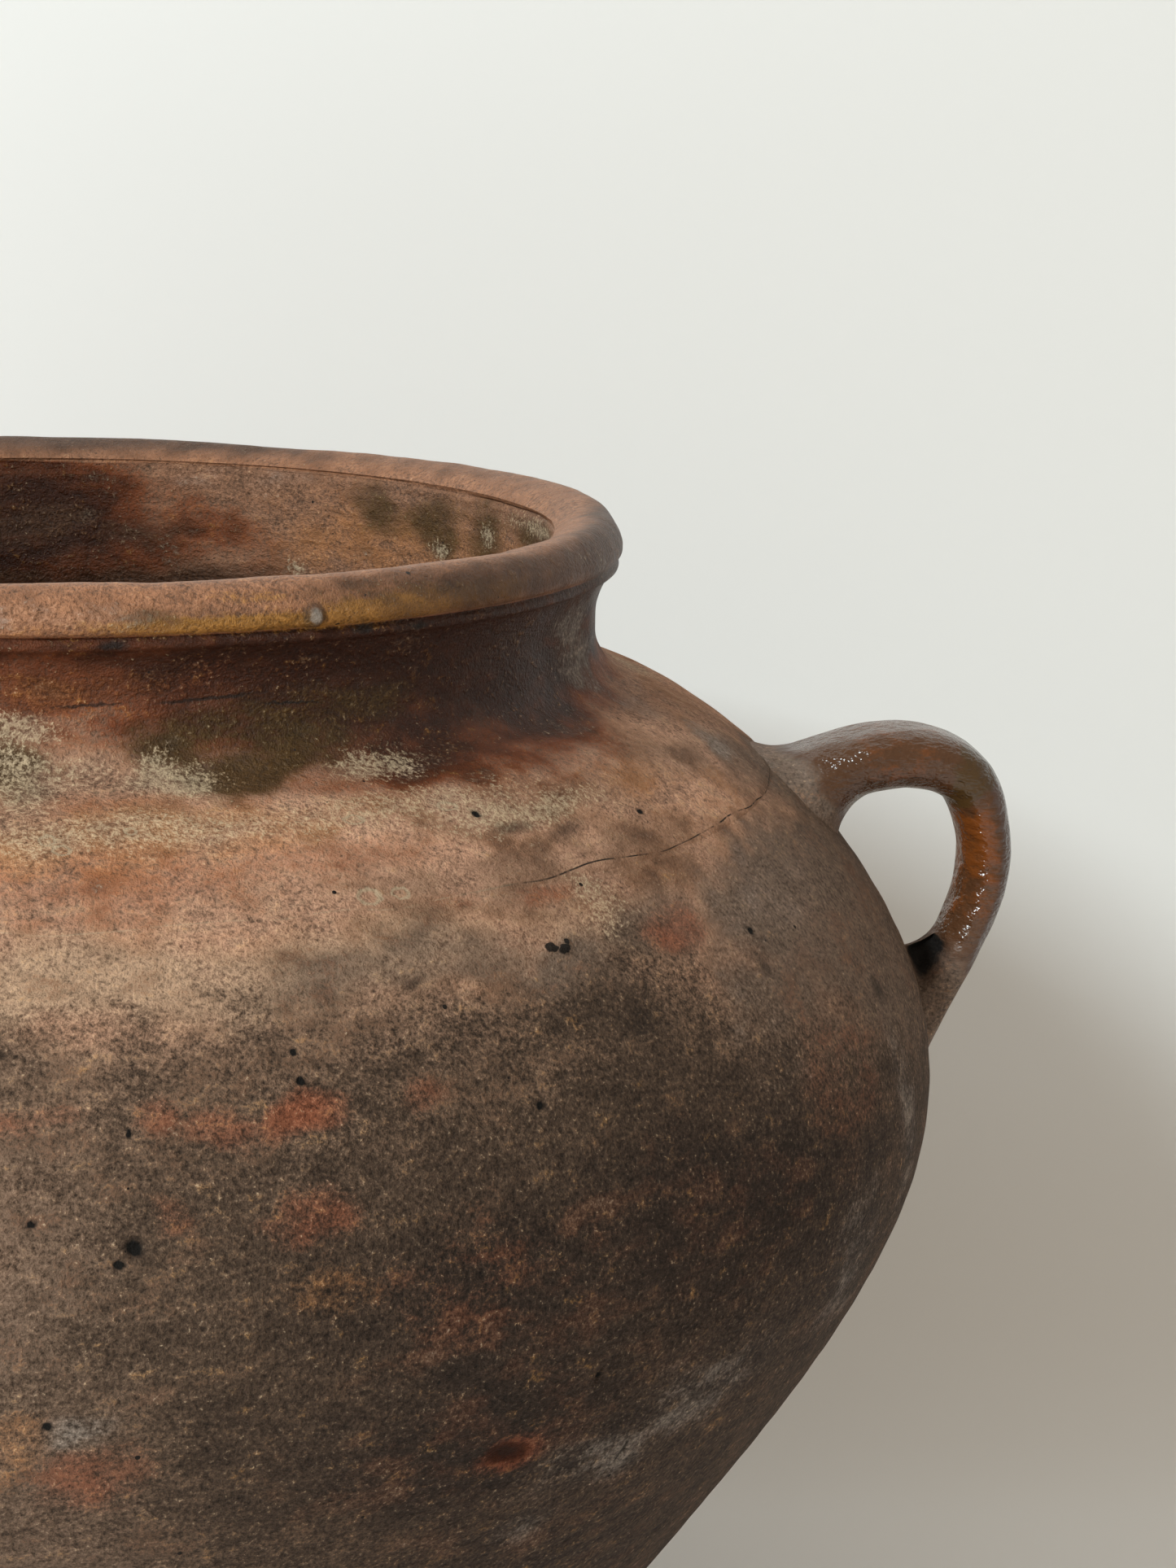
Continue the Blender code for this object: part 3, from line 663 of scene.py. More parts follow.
def mark_relief(angle, radius, length, points):
    """Relief of the small marks in metres: flat-bottomed pits and chips, domed blobs, and rings
    that stand up round a shallow crater."""
    relief = np.zeros(angle.shape)
    ragged = lattice_noise(points, 1.3, 8)
    for kind, rows in MARKS.items():
        for *ellipse, depth in rows:
            near = np.abs(turned_by(ellipse[0], angle)) * radius < MARK_REACH
            near &= np.abs(length - length_at(ellipse[1] * MM)) < MARK_REACH
            if depth == 0 or not near.any():
                continue
            apart = spread_of(*ellipse, angle[near], radius[near], length[near])
            apart *= 1 + 0.22 * ragged[near]
            shape = depth * MM * np.exp(-(apart**4))
            if kind == "pop":
                shape -= 0.5 * depth * MM * np.exp(-(((apart - 1.1) / 0.3) ** 2))
            if kind in ("blob", "chip", "lump"):
                shape *= 1 + 0.5 * ragged[near]
            relief[near] += shape
    return relief


def outer_relief(settings, angle, radius, length, height, points):
    """Relief outside in metres: finger ridges as a sine of the climb with a turn of the wheel in
    it, noise of four sizes, the hairline of the shoulder seam and the small marks."""
    wander = 1.4 * lattice_noise(points, 55, 11)
    ridges = np.sin(2 * math.pi * length / settings.ridge_spacing - angle + wander)
    relief = settings.throwing_ridge * ridges * (0.6 + 0.4 * lattice_noise(points, 70, 12))
    lumps = noise_sum(points, (1, 46, 13), (0.34, 17, 14), (0.14, 6.5, 15), (0.09, 3.1, 16))
    relief += settings.lump * lumps
    wobble = 0.5 * MM * lattice_noise(points, 21, 17)
    off_seam = length - length_at(SHOULDER_JOINT) - wobble
    opened = ramp(np.abs(turned_by(SEAM_DEEPEST, angle)), math.radians(50), math.radians(20))
    relief -= settings.seam * (0.25 + 0.75 * opened) * np.exp(-((off_seam / (0.9 * MM)) ** 2))
    return relief + mark_relief(angle, radius, length, points)


def inner_relief(settings, angle, height, points):
    """Relief inside in metres: uneven finger ridges as a sine of the height, and noise."""
    wander = 2.2 * lattice_noise(points, 40, 21)
    ridges = np.sin(2 * math.pi * height / settings.throat_spacing - angle + wander)
    relief = settings.throat_ridge * ridges * (0.55 + 0.45 * lattice_noise(points, 26, 22))
    return relief + settings.lump * noise_sum(points, (0.8, 30, 23), (0.16, 5, 24))


def put_mesh(name, places, faces, fields):
    """Object at the origin with one mesh, given as places, the corners of its faces and a value
    for each place in each field."""
    mesh = bpy.data.meshes.new(name)
    mesh.from_pydata(places.reshape(-1, 3), [], faces)
    for field, values in fields.items():
        attribute = mesh.attributes.new(field, "FLOAT", "POINT")
        attribute.data.foreach_set("value", np.ascontiguousarray(values, np.float32).ravel())
    mesh.shade_smooth()
    mesh.set_sharp_from_angle(angle=SHARP_FROM)
    piece = bpy.data.objects.new(name, mesh)
    bpy.context.scene.collection.objects.link(piece)
    return piece


def grid_faces(rows, columns, closed):
    """Corners of the quads of a grid that closes round its columns, and round its rows if asked."""
    row = np.arange(rows if closed else rows - 1)[:, None]
    column = np.arange(columns)[None, :]
    over = (row + 1) % rows
    right = (column + 1) % columns
    low, high = row * columns, over * columns
    corners = np.broadcast_arrays(low + column, low + right, high + right, high + column)
    return np.stack(corners, axis=-1).reshape(-1, 4)


def put_capped(name, rings, ends, fields, top_throat=0, turned_over=False):
    """Body of open rings, each end closed by a fan of triangles to a middle point. The fields are
    none at both middles, apart from the throat's at the top of a floor."""
    rows, columns = rings.shape[:2]
    count = rows * columns
    ring = np.arange(columns)
    after = (ring + 1) % columns
    last = count - columns
    bottom = np.stack([np.full(columns, count), after, ring], axis=1)
    top = np.stack([np.full(columns, count + 1), last + ring, last + after], axis=1)
    faces = grid_faces(rows, columns, False).tolist() + bottom.tolist() + top.tolist()
    if turned_over:
        faces = [face[::-1] for face in faces]
    fields = {key: np.append(values, (0, 0)) for key, values in fields.items()}
    fields["throat"][-1] = top_throat
    return put_mesh(name, np.concatenate([rings.reshape(-1, 3), ends]), faces, fields)


def turned_piece(name, settings, point, normal, weight, within, climb=None, poles=False):
    """Closed body of an outline spun round the axis and then moved along its normals by the
    relief: x = r cos a, y = r sin a. Outline rows may end in poles on the axis."""
    radius = np.broadcast_to(point[:, :1], (len(point), COLUMNS))
    height = np.broadcast_to(point[:, 1:], (len(point), COLUMNS))
    angle = np.broadcast_to(ANGLES, radius.shape)
    round_about = np.stack([np.cos(angle), np.sin(angle), np.zeros_like(angle)], axis=-1)
    base = round_about * radius[..., None]
    base[..., 2] = height
    length = length_at(height) if climb is None else np.broadcast_to(climb[:, None], angle.shape)
    outer = outer_relief(settings, angle, radius, length, height, base)
    inner = inner_relief(settings, angle, height, base)
    relief = weight[:, None] * np.where(within[:, None], inner, outer)
    relief[np.abs(relief) < 1e-9] = 0
    places = base + relief[..., None] * normal[:, None, :1] * round_about
    places[..., 2] += relief * normal[:, 1:]
    fields = surface_fields(angle, radius, length, height, base, within[:, None])
    if poles:
        ends = [(0, 0, point[0, 1]), (0, 0, point[-1, 1])]
        return put_capped(name, places, ends, fields, top_throat=1)
    return put_mesh(name, places, grid_faces(*angle.shape, True).tolist(), fields)


def outward(along):
    """Normal to the right of a direction in the (radius, height) plane."""
    return np.stack([along[:, 1], -along[:, 0]], axis=1)


def wall_outline(low, high, outer_rows, inner_rows):
    """Closed outline of a thrown section: up the outside, across the joint, down the inside."""
    outer, along = outside(rows_between(low, high, outer_rows))
    inner, inner_along = inside(rows_between(high, low, inner_rows))
    point = np.concatenate([outer, inner])
    normal = np.concatenate([outward(along), -outward(inner_along)])
    within = np.arange(len(point)) >= outer_rows
    return point, normal, np.ones(len(point)), within


def polyline_normals(point):
    """Normals of an open line of (radius, height) points, by central differences."""
    along = np.gradient(point, axis=0)
    along /= np.linalg.norm(along, axis=1, keepdims=True)
    return outward(along)


def base_outline():
    """From the axis out along the underside, up to the base joint, and back along the floor to
    the axis, where it is closed."""
    under = np.linspace((POLE_RADIUS, 0), (BASE_RADIUS_FLAT, 0), 26)
    side, side_along = outside(rows_between(FOOT_ROUND, BASE_JOINT, 10))
    joint, joint_along = (ends[0] for ends in inside(station_at(np.array([BASE_JOINT]))))
    start = np.array((joint[0] - FLOOR_CORNER, FLOOR_THICKNESS))
    leave = joint - 0.33 * FLOOR_CORNER * joint_along
    ends = np.array([joint, leave, start + (0.5 * FLOOR_CORNER, 0), start])
    corner, corner_along = cubic(np.broadcast_to(ends, (14, 4, 2)), np.linspace(0, 1, 14))
    floor = np.linspace(start, (POLE_RADIUS, FLOOR_THICKNESS), 26)[1:]
    down, up = np.tile((0, -1), (len(under), 1)), np.tile((0, 1), (len(floor), 1))
    point = np.concatenate([under, side, corner, floor])
    normal = np.concatenate([down, outward(side_along), outward(corner_along), up])
    eased = ramp(np.linspace(0, 1, len(side)), 0, 1)
    to_axis = np.linspace(1, 0, len(floor))
    weight = np.concatenate([np.zeros(len(under)), eased, np.ones(len(corner)), to_axis])
    within = np.arange(len(point)) >= len(under) + len(side)
    return point, normal, weight, within, None, True


def neck_outline():
    """Up the neck and round the bead to the groove, then down the throat and the neck's inside."""
    outer, along = outside(rows_between(NECK_JOINT, OUTLINE[-1, 1], 46))
    turn = np.linspace(-math.pi / 2, math.pi / 4, 8)[1:]
    bead_normal = np.stack([np.cos(turn), np.sin(turn)], axis=1)
    bead = BEAD_CENTRE + BEAD_RADIUS * bead_normal
    throat = np.linspace(THROAT_SEAT, (THROAT_RADIUS, NECK_HEIGHT), 13)[:-1]
    inner, inner_along = inside(rows_between(NECK_HEIGHT, NECK_JOINT, 16))
    point = np.concatenate([outer, bead, GROOVE[None], throat, inner])
    inwards = np.tile((-1, 0), (len(throat), 1))
    normal = [outward(along), bead_normal, [(1, 0)], inwards, -outward(inner_along)]
    rows_within = len(throat) + len(inner)
    weight = [np.ones(len(outer)), np.linspace(1, 0.3, len(bead)), [0], np.ones(rows_within)]
    within = np.arange(len(point)) >= len(point) - rows_within
    return point, np.concatenate(normal), np.concatenate(weight), within


def rim_outline():
    """From the groove over the rolled lip to its ledge, and down to the throat's seat."""
    over = lip_curve(LIP_OUTER_SHARES, 34)
    down = lip_curve(LIP_INNER_SHARES, 26)[1:]
    ledge = np.linspace(down[-1], down[-1] + LEDGE, 5)[1:]
    seat = np.linspace(ledge[-1], THROAT_SEAT, 6)[1:]
    point = np.concatenate([GROOVE[None], over, down, ledge, seat])
    normal = polyline_normals(point)
    normal[-1] = (-1, 0)
    weight = np.full(len(point), RIM_UNEVENNESS)
    weight[:6] = (0, 0, 0.3, 0.7, 1.1, 1.4)
    within = np.arange(len(point)) >= len(point) - len(seat) - 2
    climb = np.concatenate([[0], np.cumsum(np.linalg.norm(np.diff(point, axis=0), axis=1))])
    return point, normal, weight, within, length_at(GROOVE[1]) + climb


def through(values, place):
    """Catmull-Rom curve through evenly spaced values."""
    values = np.asarray(values, float)
    last = len(values) - 1
    index = np.clip(np.floor(place).astype(int), 0, last - 1)
    share = place - index
    start, end = values[index], values[index + 1]
    slope_in = (end - values[np.maximum(index - 1, 0)]) / 2
    slope_out = (values[np.minimum(index + 2, last)] - start) / 2
    if values.ndim > 1:
        share = share[..., None]
    rest = 1 - share
    return (
        (1 + 2 * share) * rest**2 * start
        + share * rest**2 * slope_in
        + share**2 * (3 - 2 * share) * end
        - share**2 * rest * slope_out
    )


def handle_path():
    """Centre line points of the strap in the X-Z plane, laid off from the wall's radius."""
    shares = np.array(HANDLE_PATH_SHARES)
    height = HANDLE_FOOT + shares[:, 0] * (HANDLE_TOP - HANDLE_FOOT)
    wall = outside(station_at(height))[0][:, 0]
    return np.stack([wall + shares[:, 1] * HANDLE_REACH, height], axis=1)


def path_frame(place):
    """Centre, direction and outward normal of the strap at places on its centre line."""
    path = handle_path()
    centre = through(path, place)
    along = through(path, place + 1e-4) - through(path, place - 1e-4)
    along /= np.linalg.norm(along, axis=-1, keepdims=True)
    normal = np.stack([-along[..., 1], along[..., 0]], axis=-1)
    return centre, along, normal


def strap_rings(place):
    """Oval sections of the strap: cosine and sine raised to a power below one, with a valley
    along the outer face that falls off as a bell curve to both ridges."""
    cos, sin = np.cos(RING_ANGLES), np.sin(RING_ANGLES)
    half_width = HANDLE_WIDTH / 2 * through(HANDLE_WIDTH_SHARES, place)[:, None]
    half_thick = HANDLE_THICKNESS / 2 * through(HANDLE_THICKNESS_SHARES, place)[:, None]
    across = half_width * np.sign(cos) * np.abs(cos) ** SECTION_POWER
    out = half_thick * np.sign(sin) * np.abs(sin) ** SECTION_POWER
    valley = VALLEY_DEPTH * np.exp(-((across / VALLEY_WIDTH) ** 2))
    out = np.where(sin > 0, out - valley * ramp(out, 0, 0.6 * half_thick), out)
    centre, along, normal = path_frame(place)
    ring = np.empty((*across.shape, 3))
    ring[..., 0] = centre[:, :1] + out * normal[:, :1]
    ring[..., 1] = across
    ring[..., 2] = centre[:, 1:] + out * normal[:, 1:]
    return ring


def on_wall(across, height, lift):
    """Points over the wall's outside at a height, a distance round, and a lift off it."""
    point, along = outside(station_at(height))
    turn = across / point[..., 0]
    radius = point[..., 0] + lift * along[..., 1]
    height = point[..., 1] - lift * along[..., 0]
    return np.stack([radius * np.cos(turn), radius * np.sin(turn), height], axis=-1)


def root_foot(root, share, lift):
    """Egg-shaped ring of a root on the wall: a circle stretched by its reach up, its reach down
    and its half width, which grows towards one end."""
    up = root["away"] * np.sin(RING_ANGLES)
    width = root["half_width"] * (1 - root["egg"] * up)
    reach = np.where(up > 0, root["up"], root["down"])
    return on_wall(share * width * np.cos(RING_ANGLES), root["height"] + share * reach * up, lift)


def root_flare(root, mouth):
    """A root's flare: for each of its points round, a cubic curve that leaves along the wall and
    arrives along the strap."""
    along = root["away"] * path_frame(np.array([float(root["place"])]))[1][0]
    along = np.array((along[0], 0, along[1]))
    edge = root_foot(root, 1, -ROOT_SINK)
    towards = root_foot(root, 0.9, -ROOT_SINK) - edge
    towards /= np.linalg.norm(towards, axis=1, keepdims=True)
    length = np.linalg.norm(mouth - edge, axis=1, keepdims=True)
    outer_side = ((1 + np.sin(RING_ANGLES)) / 2)[:, None]
    low, high = root["wall_pull"]
    leave = edge + (low + (high - low) * outer_side) * length * towards
    low, high = root["strap_pull"]
    arrive = mouth - (low + (high - low) * outer_side) * length * along
    ends = np.stack([edge, leave, arrive, mouth], axis=1)
    share = np.linspace(0, 1, FLARE_ROWS)[:-1]
    return cubic(ends[None], np.broadcast_to(share[:, None], (len(share), RING_COLUMNS)))[0]


def ring_normals(rings):
    """Normals of a surface of rings, from the cross product of its two directions."""
    along = np.gradient(rings, axis=0)
    around = np.roll(rings, -1, axis=1) - np.roll(rings, 1, axis=1)
    normal = np.cross(around, along)
    return normal / np.maximum(np.linalg.norm(normal, axis=-1, keepdims=True), 1e-12)


def handle_rings():
    """The whole handle from foot to foot, with its section, flutes, drag marks along it and the
    hollow under it, and two fields: a point's row, which goes from 0 to 1 down the upper root,
    to 2 down the strap and to 3 down the lower root, and how deep in the hollow it is, which also
    sets where near-black painted shade goes."""
    place = np.linspace(STRAP_START, STRAP_END, STRAP_ROWS)
    strap = strap_rings(place)
    upper = root_flare(UPPER_ROOT, strap[0])
    lower = root_flare(LOWER_ROOT, strap[-1])[::-1]
    rings = np.concatenate([upper, strap, lower])
    down_root = np.linspace(3, 2, len(lower), endpoint=False)[::-1]
    up_root = np.linspace(0, 1, len(upper), endpoint=False)
    row = np.concatenate([up_root, np.linspace(1, 2, len(strap)), down_root])[:, None]
    row = np.broadcast_to(row, rings.shape[:2])
    cos, sin = (np.broadcast_to(share(RING_ANGLES), row.shape) for share in (np.cos, np.sin))
    normal = ring_normals(rings)
    # mask of the hollow pressed in under the lower root; the same mask lays near-black painted
    # shade into it
    hollow_and_shade = ramp(-cos, 0.02, 0.42) * ramp(sin, -0.42, -0.77)
    hollow_and_shade = hollow_and_shade * ramp(row, 2.1, 2.28) * ramp(row, 2.8, 2.55)
    rings = rings + hollow_and_shade[..., None] * np.array((0, HOLLOW_DEPTH, 0))
    bumps = noise_sum(rings, (0.26 * MM, 12, 31), (0.13 * MM, 5, 32), (0.05 * MM, 2.2, 33))
    drag = lattice_noise(np.stack([row, 3.5 * cos, 3.5 * sin], axis=-1), 1 / MM, 34)
    bumps += 0.16 * MM * drag
    return rings + bumps[..., None] * normal, row, hollow_and_shade


def bell(value, middle, half):
    """Smooth hump round a middle value, none past one and a half times its half width."""
    return ramp(np.abs(value - middle) / half, 1.5, 0.5)


def handle_piece(name, half_turn):
    """Closed skin over the handle's rings. The left handle is the right one turned half round.
    The glaze covers the strap, pools amber in bells along it and thins to plum outside."""
    rings, row, hollow_and_shade = handle_rings()
    outer = np.broadcast_to(np.sin(RING_ANGLES), row.shape)
    front = np.broadcast_to(-np.cos(RING_ANGLES), row.shape)
    if half_turn:
        rings = rings * (-1, -1, 1)
    x, y, height = np.moveaxis(rings, -1, 0)
    radius, azimuth = np.hypot(x, y), np.arctan2(y, x)
    within = np.zeros(row.shape, bool)
    fields = surface_fields(azimuth, radius, length_at(height), height, rings, within)
    row = row + noise_sum(rings, (0.05, 9, 51), (0.02, 3, 52))
    glazed = ramp(row, 0.3, 0.7) * ramp(row, 2.35, 1.9)
    pools = 0.35 * bell(row, 1.12, 0.16)
    pools += 1.15 * bell(row, 1.58, 0.13) * ramp(outer, 0.45, -0.25)
    pools += 0.6 * bell(row, 1.82, 0.12) * ramp(outer, 0.8, 0)
    fields["glazed"] = glazed
    fields["amber"] = glazed * pools
    fields["plum"] = 1.2 * glazed * ramp(outer, 0.05, 0.55) * ramp(row, 1.28, 1.4)
    fields["tarnish"] = 0.9 * bell(row, 1.37, 0.05) * ramp(front, -0.5, 0)
    fields["pale"] = 0.8 * bell(row, 1.9, 0.09) * ramp(outer, 0.1, 0.5)
    fields["soot"] *= 0.35
    fields["ash"] = np.maximum(fields["ash"], 0.9 * ramp(row, 2, 2.3))
    # painted shade: how deep in the hollow, where near-black colour stands for the shade under the
    # strap
    fields["hollow_and_shade"] = hollow_and_shade
    middles = [rings[0].mean(axis=0), rings[-1].mean(axis=0)]
    return put_capped(name, rings, middles, fields, turned_over=True)


def add(tree, kind, inputs=None, **settings):
    """Adds a node: settings are its own values, inputs are values or sockets for its inputs."""
    node = tree.nodes.new(kind)
    for name, value in settings.items():
        setattr(node, name, value)
    for key, value in (inputs or {}).items():
        if isinstance(value, bpy.types.NodeSocket):
            tree.links.new(value, node.inputs[key])
        else:
            node.inputs[key].default_value = value
    return node


def new_material(name):
    material = bpy.data.materials.get(name) or bpy.data.materials.new(name)
    material.use_nodes = True
    tree = material.node_tree
    tree.nodes.clear()
    return material, tree


def painted(tree, under, tint, value, low, high, most, curve="SMOOTHSTEP"):
    """Lays a colour over another, up to a share at most, where a value climbs from one threshold
    to another."""
    ends = {"Value": value, "From Min": low, "From Max": high, "To Max": most}
    mask = add(tree, "ShaderNodeMapRange", ends, interpolation_type=curve).outputs[0]
    mixed = {0: mask, 6: under, 7: (*tint, 1)}
    return add(tree, "ShaderNodeMix", mixed, data_type="RGBA").outputs[2]


def roughened(tree, noise, value, *shares):
    """Value plus shares of the shared noises."""
    for name, share in shares:
        step = {0: noise[name], 1: share, 2: value}
        value = add(tree, "ShaderNodeMath", step, operation="MULTIPLY_ADD").outputs[0]
    return value


def laid_over(tree, noise, under, layers):
    """Lays colours over each other. Each shows where its field, roughened by a noise and by the
    sand's grain, climbs from one threshold to another."""
    for field, tint, torn_by, ragged, fleck, low, high, most in layers:
        strength = add(tree, "ShaderNodeAttribute", attribute_name=field).outputs["Fac"]
        torn = roughened(tree, noise, strength, (torn_by, ragged), ("sand", fleck))
        shift = (ragged + fleck) / 2
        under = painted(tree, under, tint, torn, low + shift, high + shift, most)
    return under


def mark_distance(tree, place, kind):
    """Distance to the nearest small mark of a kind, in shares of its half sizes: each mark is an
    ellipsoid set into the wall, turned with it."""
    nearest = None
    for azimuth, height, half_width, half_height, tilt, _ in MARKS[kind]:
        spot, ahead = (point_at(length_at(height * MM) + step) for step in (0, MM))
        turn = math.radians(azimuth)
        centre = (spot[0] * math.cos(turn), spot[0] * math.sin(turn), spot[1])
        lean = math.atan2(ahead[0] - spot[0], ahead[1] - spot[1])
        frame_of_mark = {
            "Vector": place,
            "Location": centre,
            "Rotation": (math.radians(tilt), lean, turn),
            "Scale": (MARK_DEPTH, half_width * MM, half_height * MM),
        }
        local = add(tree, "ShaderNodeMapping", frame_of_mark, vector_type="TEXTURE").outputs[0]
        far = add(tree, "ShaderNodeVectorMath", {0: local}, operation="LENGTH").outputs["Value"]
        both = {0: far, 1: far if nearest is None else nearest}
        nearest = add(tree, "ShaderNodeMath", both, operation="MINIMUM").outputs[0]
    return nearest


def noises(tree, place):
    """Noises that the colours share, each spread to run from 0 to 1: broad clouds of the kiln's
    flame, smears and clumps drawn out the way the wheel turned, and the sand's own grain. Each
    has its size in mm, its detail and its roughness."""
    sizes = {
        "broad": (40, 2, 0.5),
        "smear": (12, 5, 0.66),
        "clump": (4.2, 3, 0.65),
        "sand": (0.95, 3, 0.8),
    }
    noise = {}
    turned = {"Vector": place, "Scale": (0.8, 0.8, 1.5)}
    drawn_out = add(tree, "ShaderNodeMapping", turned).outputs[0]
    for name, (size, detail, rough) in sizes.items():
        where = place if name == "sand" else drawn_out
        grain = {"Vector": where, "Scale": 1 / (size * MM), "Detail": detail, "Roughness": rough}
        fac = add(tree, "ShaderNodeTexNoise", grain).outputs["Fac"]
        spread = {"Value": fac, "From Min": 0.28, "From Max": 0.72}
        noise[name] = add(tree, "ShaderNodeMapRange", spread).outputs[0]
    return noise


def bare_clay(tree, noise, clay):
    """Pink and brown clay in broad clouds, warmed by ochre smears and dusted with sand."""
    clouds = {0: noise["broad"], 6: (*clay.pink, 1), 7: (*clay.brown, 1)}
    colour = add(tree, "ShaderNodeMix", clouds, data_type="RGBA").outputs[2]
    colour = painted(tree, colour, clay.ochre, noise["smear"], 0.35, 1, 0.6, "LINEAR")
    return painted(tree, colour, clay.sand, noise["clump"], 0.5, 1, 0.5, "LINEAR")


def smoked(tree, noise, clay, colour):
    """Smoke staining: clouds first, then darker and lighter grains of sand within them."""
    soot = add(tree, "ShaderNodeAttribute", attribute_name="soot").outputs["Fac"]
    grained = roughened(tree, noise, soot, ("smear", -0.36), ("clump", -0.22), ("sand", -0.45))
    depth = {"Value": grained, "From Min": -0.12, "From Max": 1.38}
    depth = add(tree, "ShaderNodeMapRange", depth).outputs[0]
    stain = add(tree, "ShaderNodeValToRGB", {0: depth})
    stops = stain.color_ramp.elements
    stops.new(0.5)
    for stop, tint in zip(stops, (clay.smoke, clay.dusk, clay.soot)):
        stop.color = (*tint, 1)
    veil = {"Value": grained, "From Min": -0.54, "From Max": 0.2}
    veil = add(tree, "ShaderNodeMapRange", veil, interpolation_type="SMOOTHSTEP").outputs[0]
    mixed = {0: veil, 6: colour, 7: stain.outputs[0]}
    return add(tree, "ShaderNodeMix", mixed, data_type="RGBA").outputs[2]


def pinholes(tree, place):
    """Mask of the pinholes, which are larger or smaller from cell to cell of 6.5 mm."""
    cells = add(tree, "ShaderNodeTexVoronoi", {"Vector": place, "Scale": 1 / (6.5 * MM)})
    chance = add(tree, "ShaderNodeSeparateColor", {0: cells.outputs["Color"]}).outputs[0]
    size = {"Value": chance, "From Min": 0.45, "To Max": 0.075}
    size = add(tree, "ShaderNodeMapRange", size).outputs[0]
    within = {0: cells.outputs["Distance"], 1: size}
    return add(tree, "ShaderNodeMath", within, operation="LESS_THAN").outputs[0]


def hairline(tree, place, noise, clay, colour):
    """The shoulder's seam, a broken line that sways by 1.7 mm either way: dark where it opened, a
    pale scratch where it closed."""
    height = add(tree, "ShaderNodeSeparateXYZ", {0: place}).outputs[2]
    sway = {0: noise["broad"], 1: 3.4 * MM, 2: -1.7 * MM - SHOULDER_JOINT}
    sway = add(tree, "ShaderNodeMath", sway, operation="MULTIPLY_ADD").outputs[0]
    off = add(tree, "ShaderNodeMath", {0: height, 1: sway}, operation="ADD").outputs[0]
    off = add(tree, "ShaderNodeMath", {0: off}, operation="ABSOLUTE").outputs[0]
    thin = {"Value": off, "From Min": 0.17 * MM, "From Max": 0.04 * MM}
    thin = add(tree, "ShaderNodeMapRange", thin, interpolation_type="SMOOTHSTEP").outputs[0]
    broken = {"Value": noise["clump"], "From Min": 0.25, "From Max": 0.6}
    broken = add(tree, "ShaderNodeMapRange", broken).outputs[0]
    thin = add(tree, "ShaderNodeMath", {0: thin, 1: broken}, operation="MULTIPLY").outputs[0]
    opened = add(tree, "ShaderNodeAttribute", attribute_name="seam").outputs["Fac"]
    closed = {"Value": opened, "From Min": 0.6, "From Max": 0.3, "To Max": 0.3}
    closed = add(tree, "ShaderNodeMapRange", closed).outputs[0]
    for cover, tint in ((opened, clay.soot), (closed, clay.lime)):
        line = add(tree, "ShaderNodeMath", {0: thin, 1: cover}, operation="MULTIPLY").outputs[0]
        mixed = {0: line, 6: colour, 7: (*tint, 1)}
        colour = add(tree, "ShaderNodeMix", mixed, data_type="RGBA").outputs[2]
    return colour


def small_marks(tree, place, clay, colour):
    """Slag, chips, cracks, pits and rings of lime, with their edges shaken by 0.65 mm. Each kind
    fades in from one distance to another, in shares of a mark's half sizes."""
    shaken = {"Vector": place, "Scale": 1 / (1.6 * MM)}
    shaken = add(tree, "ShaderNodeTexNoise", shaken).outputs["Color"]
    wide = {0: shaken, 1: (1.3 * MM,) * 3, 2: (-0.65 * MM,) * 3}
    offset = add(tree, "ShaderNodeVectorMath", wide, operation="MULTIPLY_ADD").outputs[0]
    near = {0: place, 1: offset}
    near = add(tree, "ShaderNodeVectorMath", near, operation="ADD").outputs[0]
    marks = (
        ("smear", clay.soot, 1.8, 0.2, 0.6),
        ("chip", clay.neck, 1.3, 0.7, 0.85),
        ("chip", clay.soot, 0.7, 0.3, 0.6),
        ("crack", clay.black_slag_and_shade, 1.3, 0.4, 0.75),
        ("lump", clay.soot, 1.7, 1.0, 0.6),
        ("lump", clay.bloom_and_sheen, 1.0, 0.5, 0.7),
        ("pit", clay.soot, 1.6, 0.9, 0.6),
        ("pit", clay.black_slag_and_shade, 1.05, 0.75, 0.97),
        ("blob", clay.black_slag_and_shade, 1.1, 0.85, 0.95),
    )
    for kind, tint, far, close, most in marks:
        away = mark_distance(tree, near, kind)
        colour = painted(tree, colour, tint, away, far, close, most)
    ring = {0: mark_distance(tree, near, "pop"), 1: 1.0}
    ring = add(tree, "ShaderNodeMath", ring, operation="SUBTRACT").outputs[0]
    ring = add(tree, "ShaderNodeMath", {0: ring}, operation="ABSOLUTE").outputs[0]
    return painted(tree, colour, clay.lime, ring, 0.36, 0.06, 0.7)


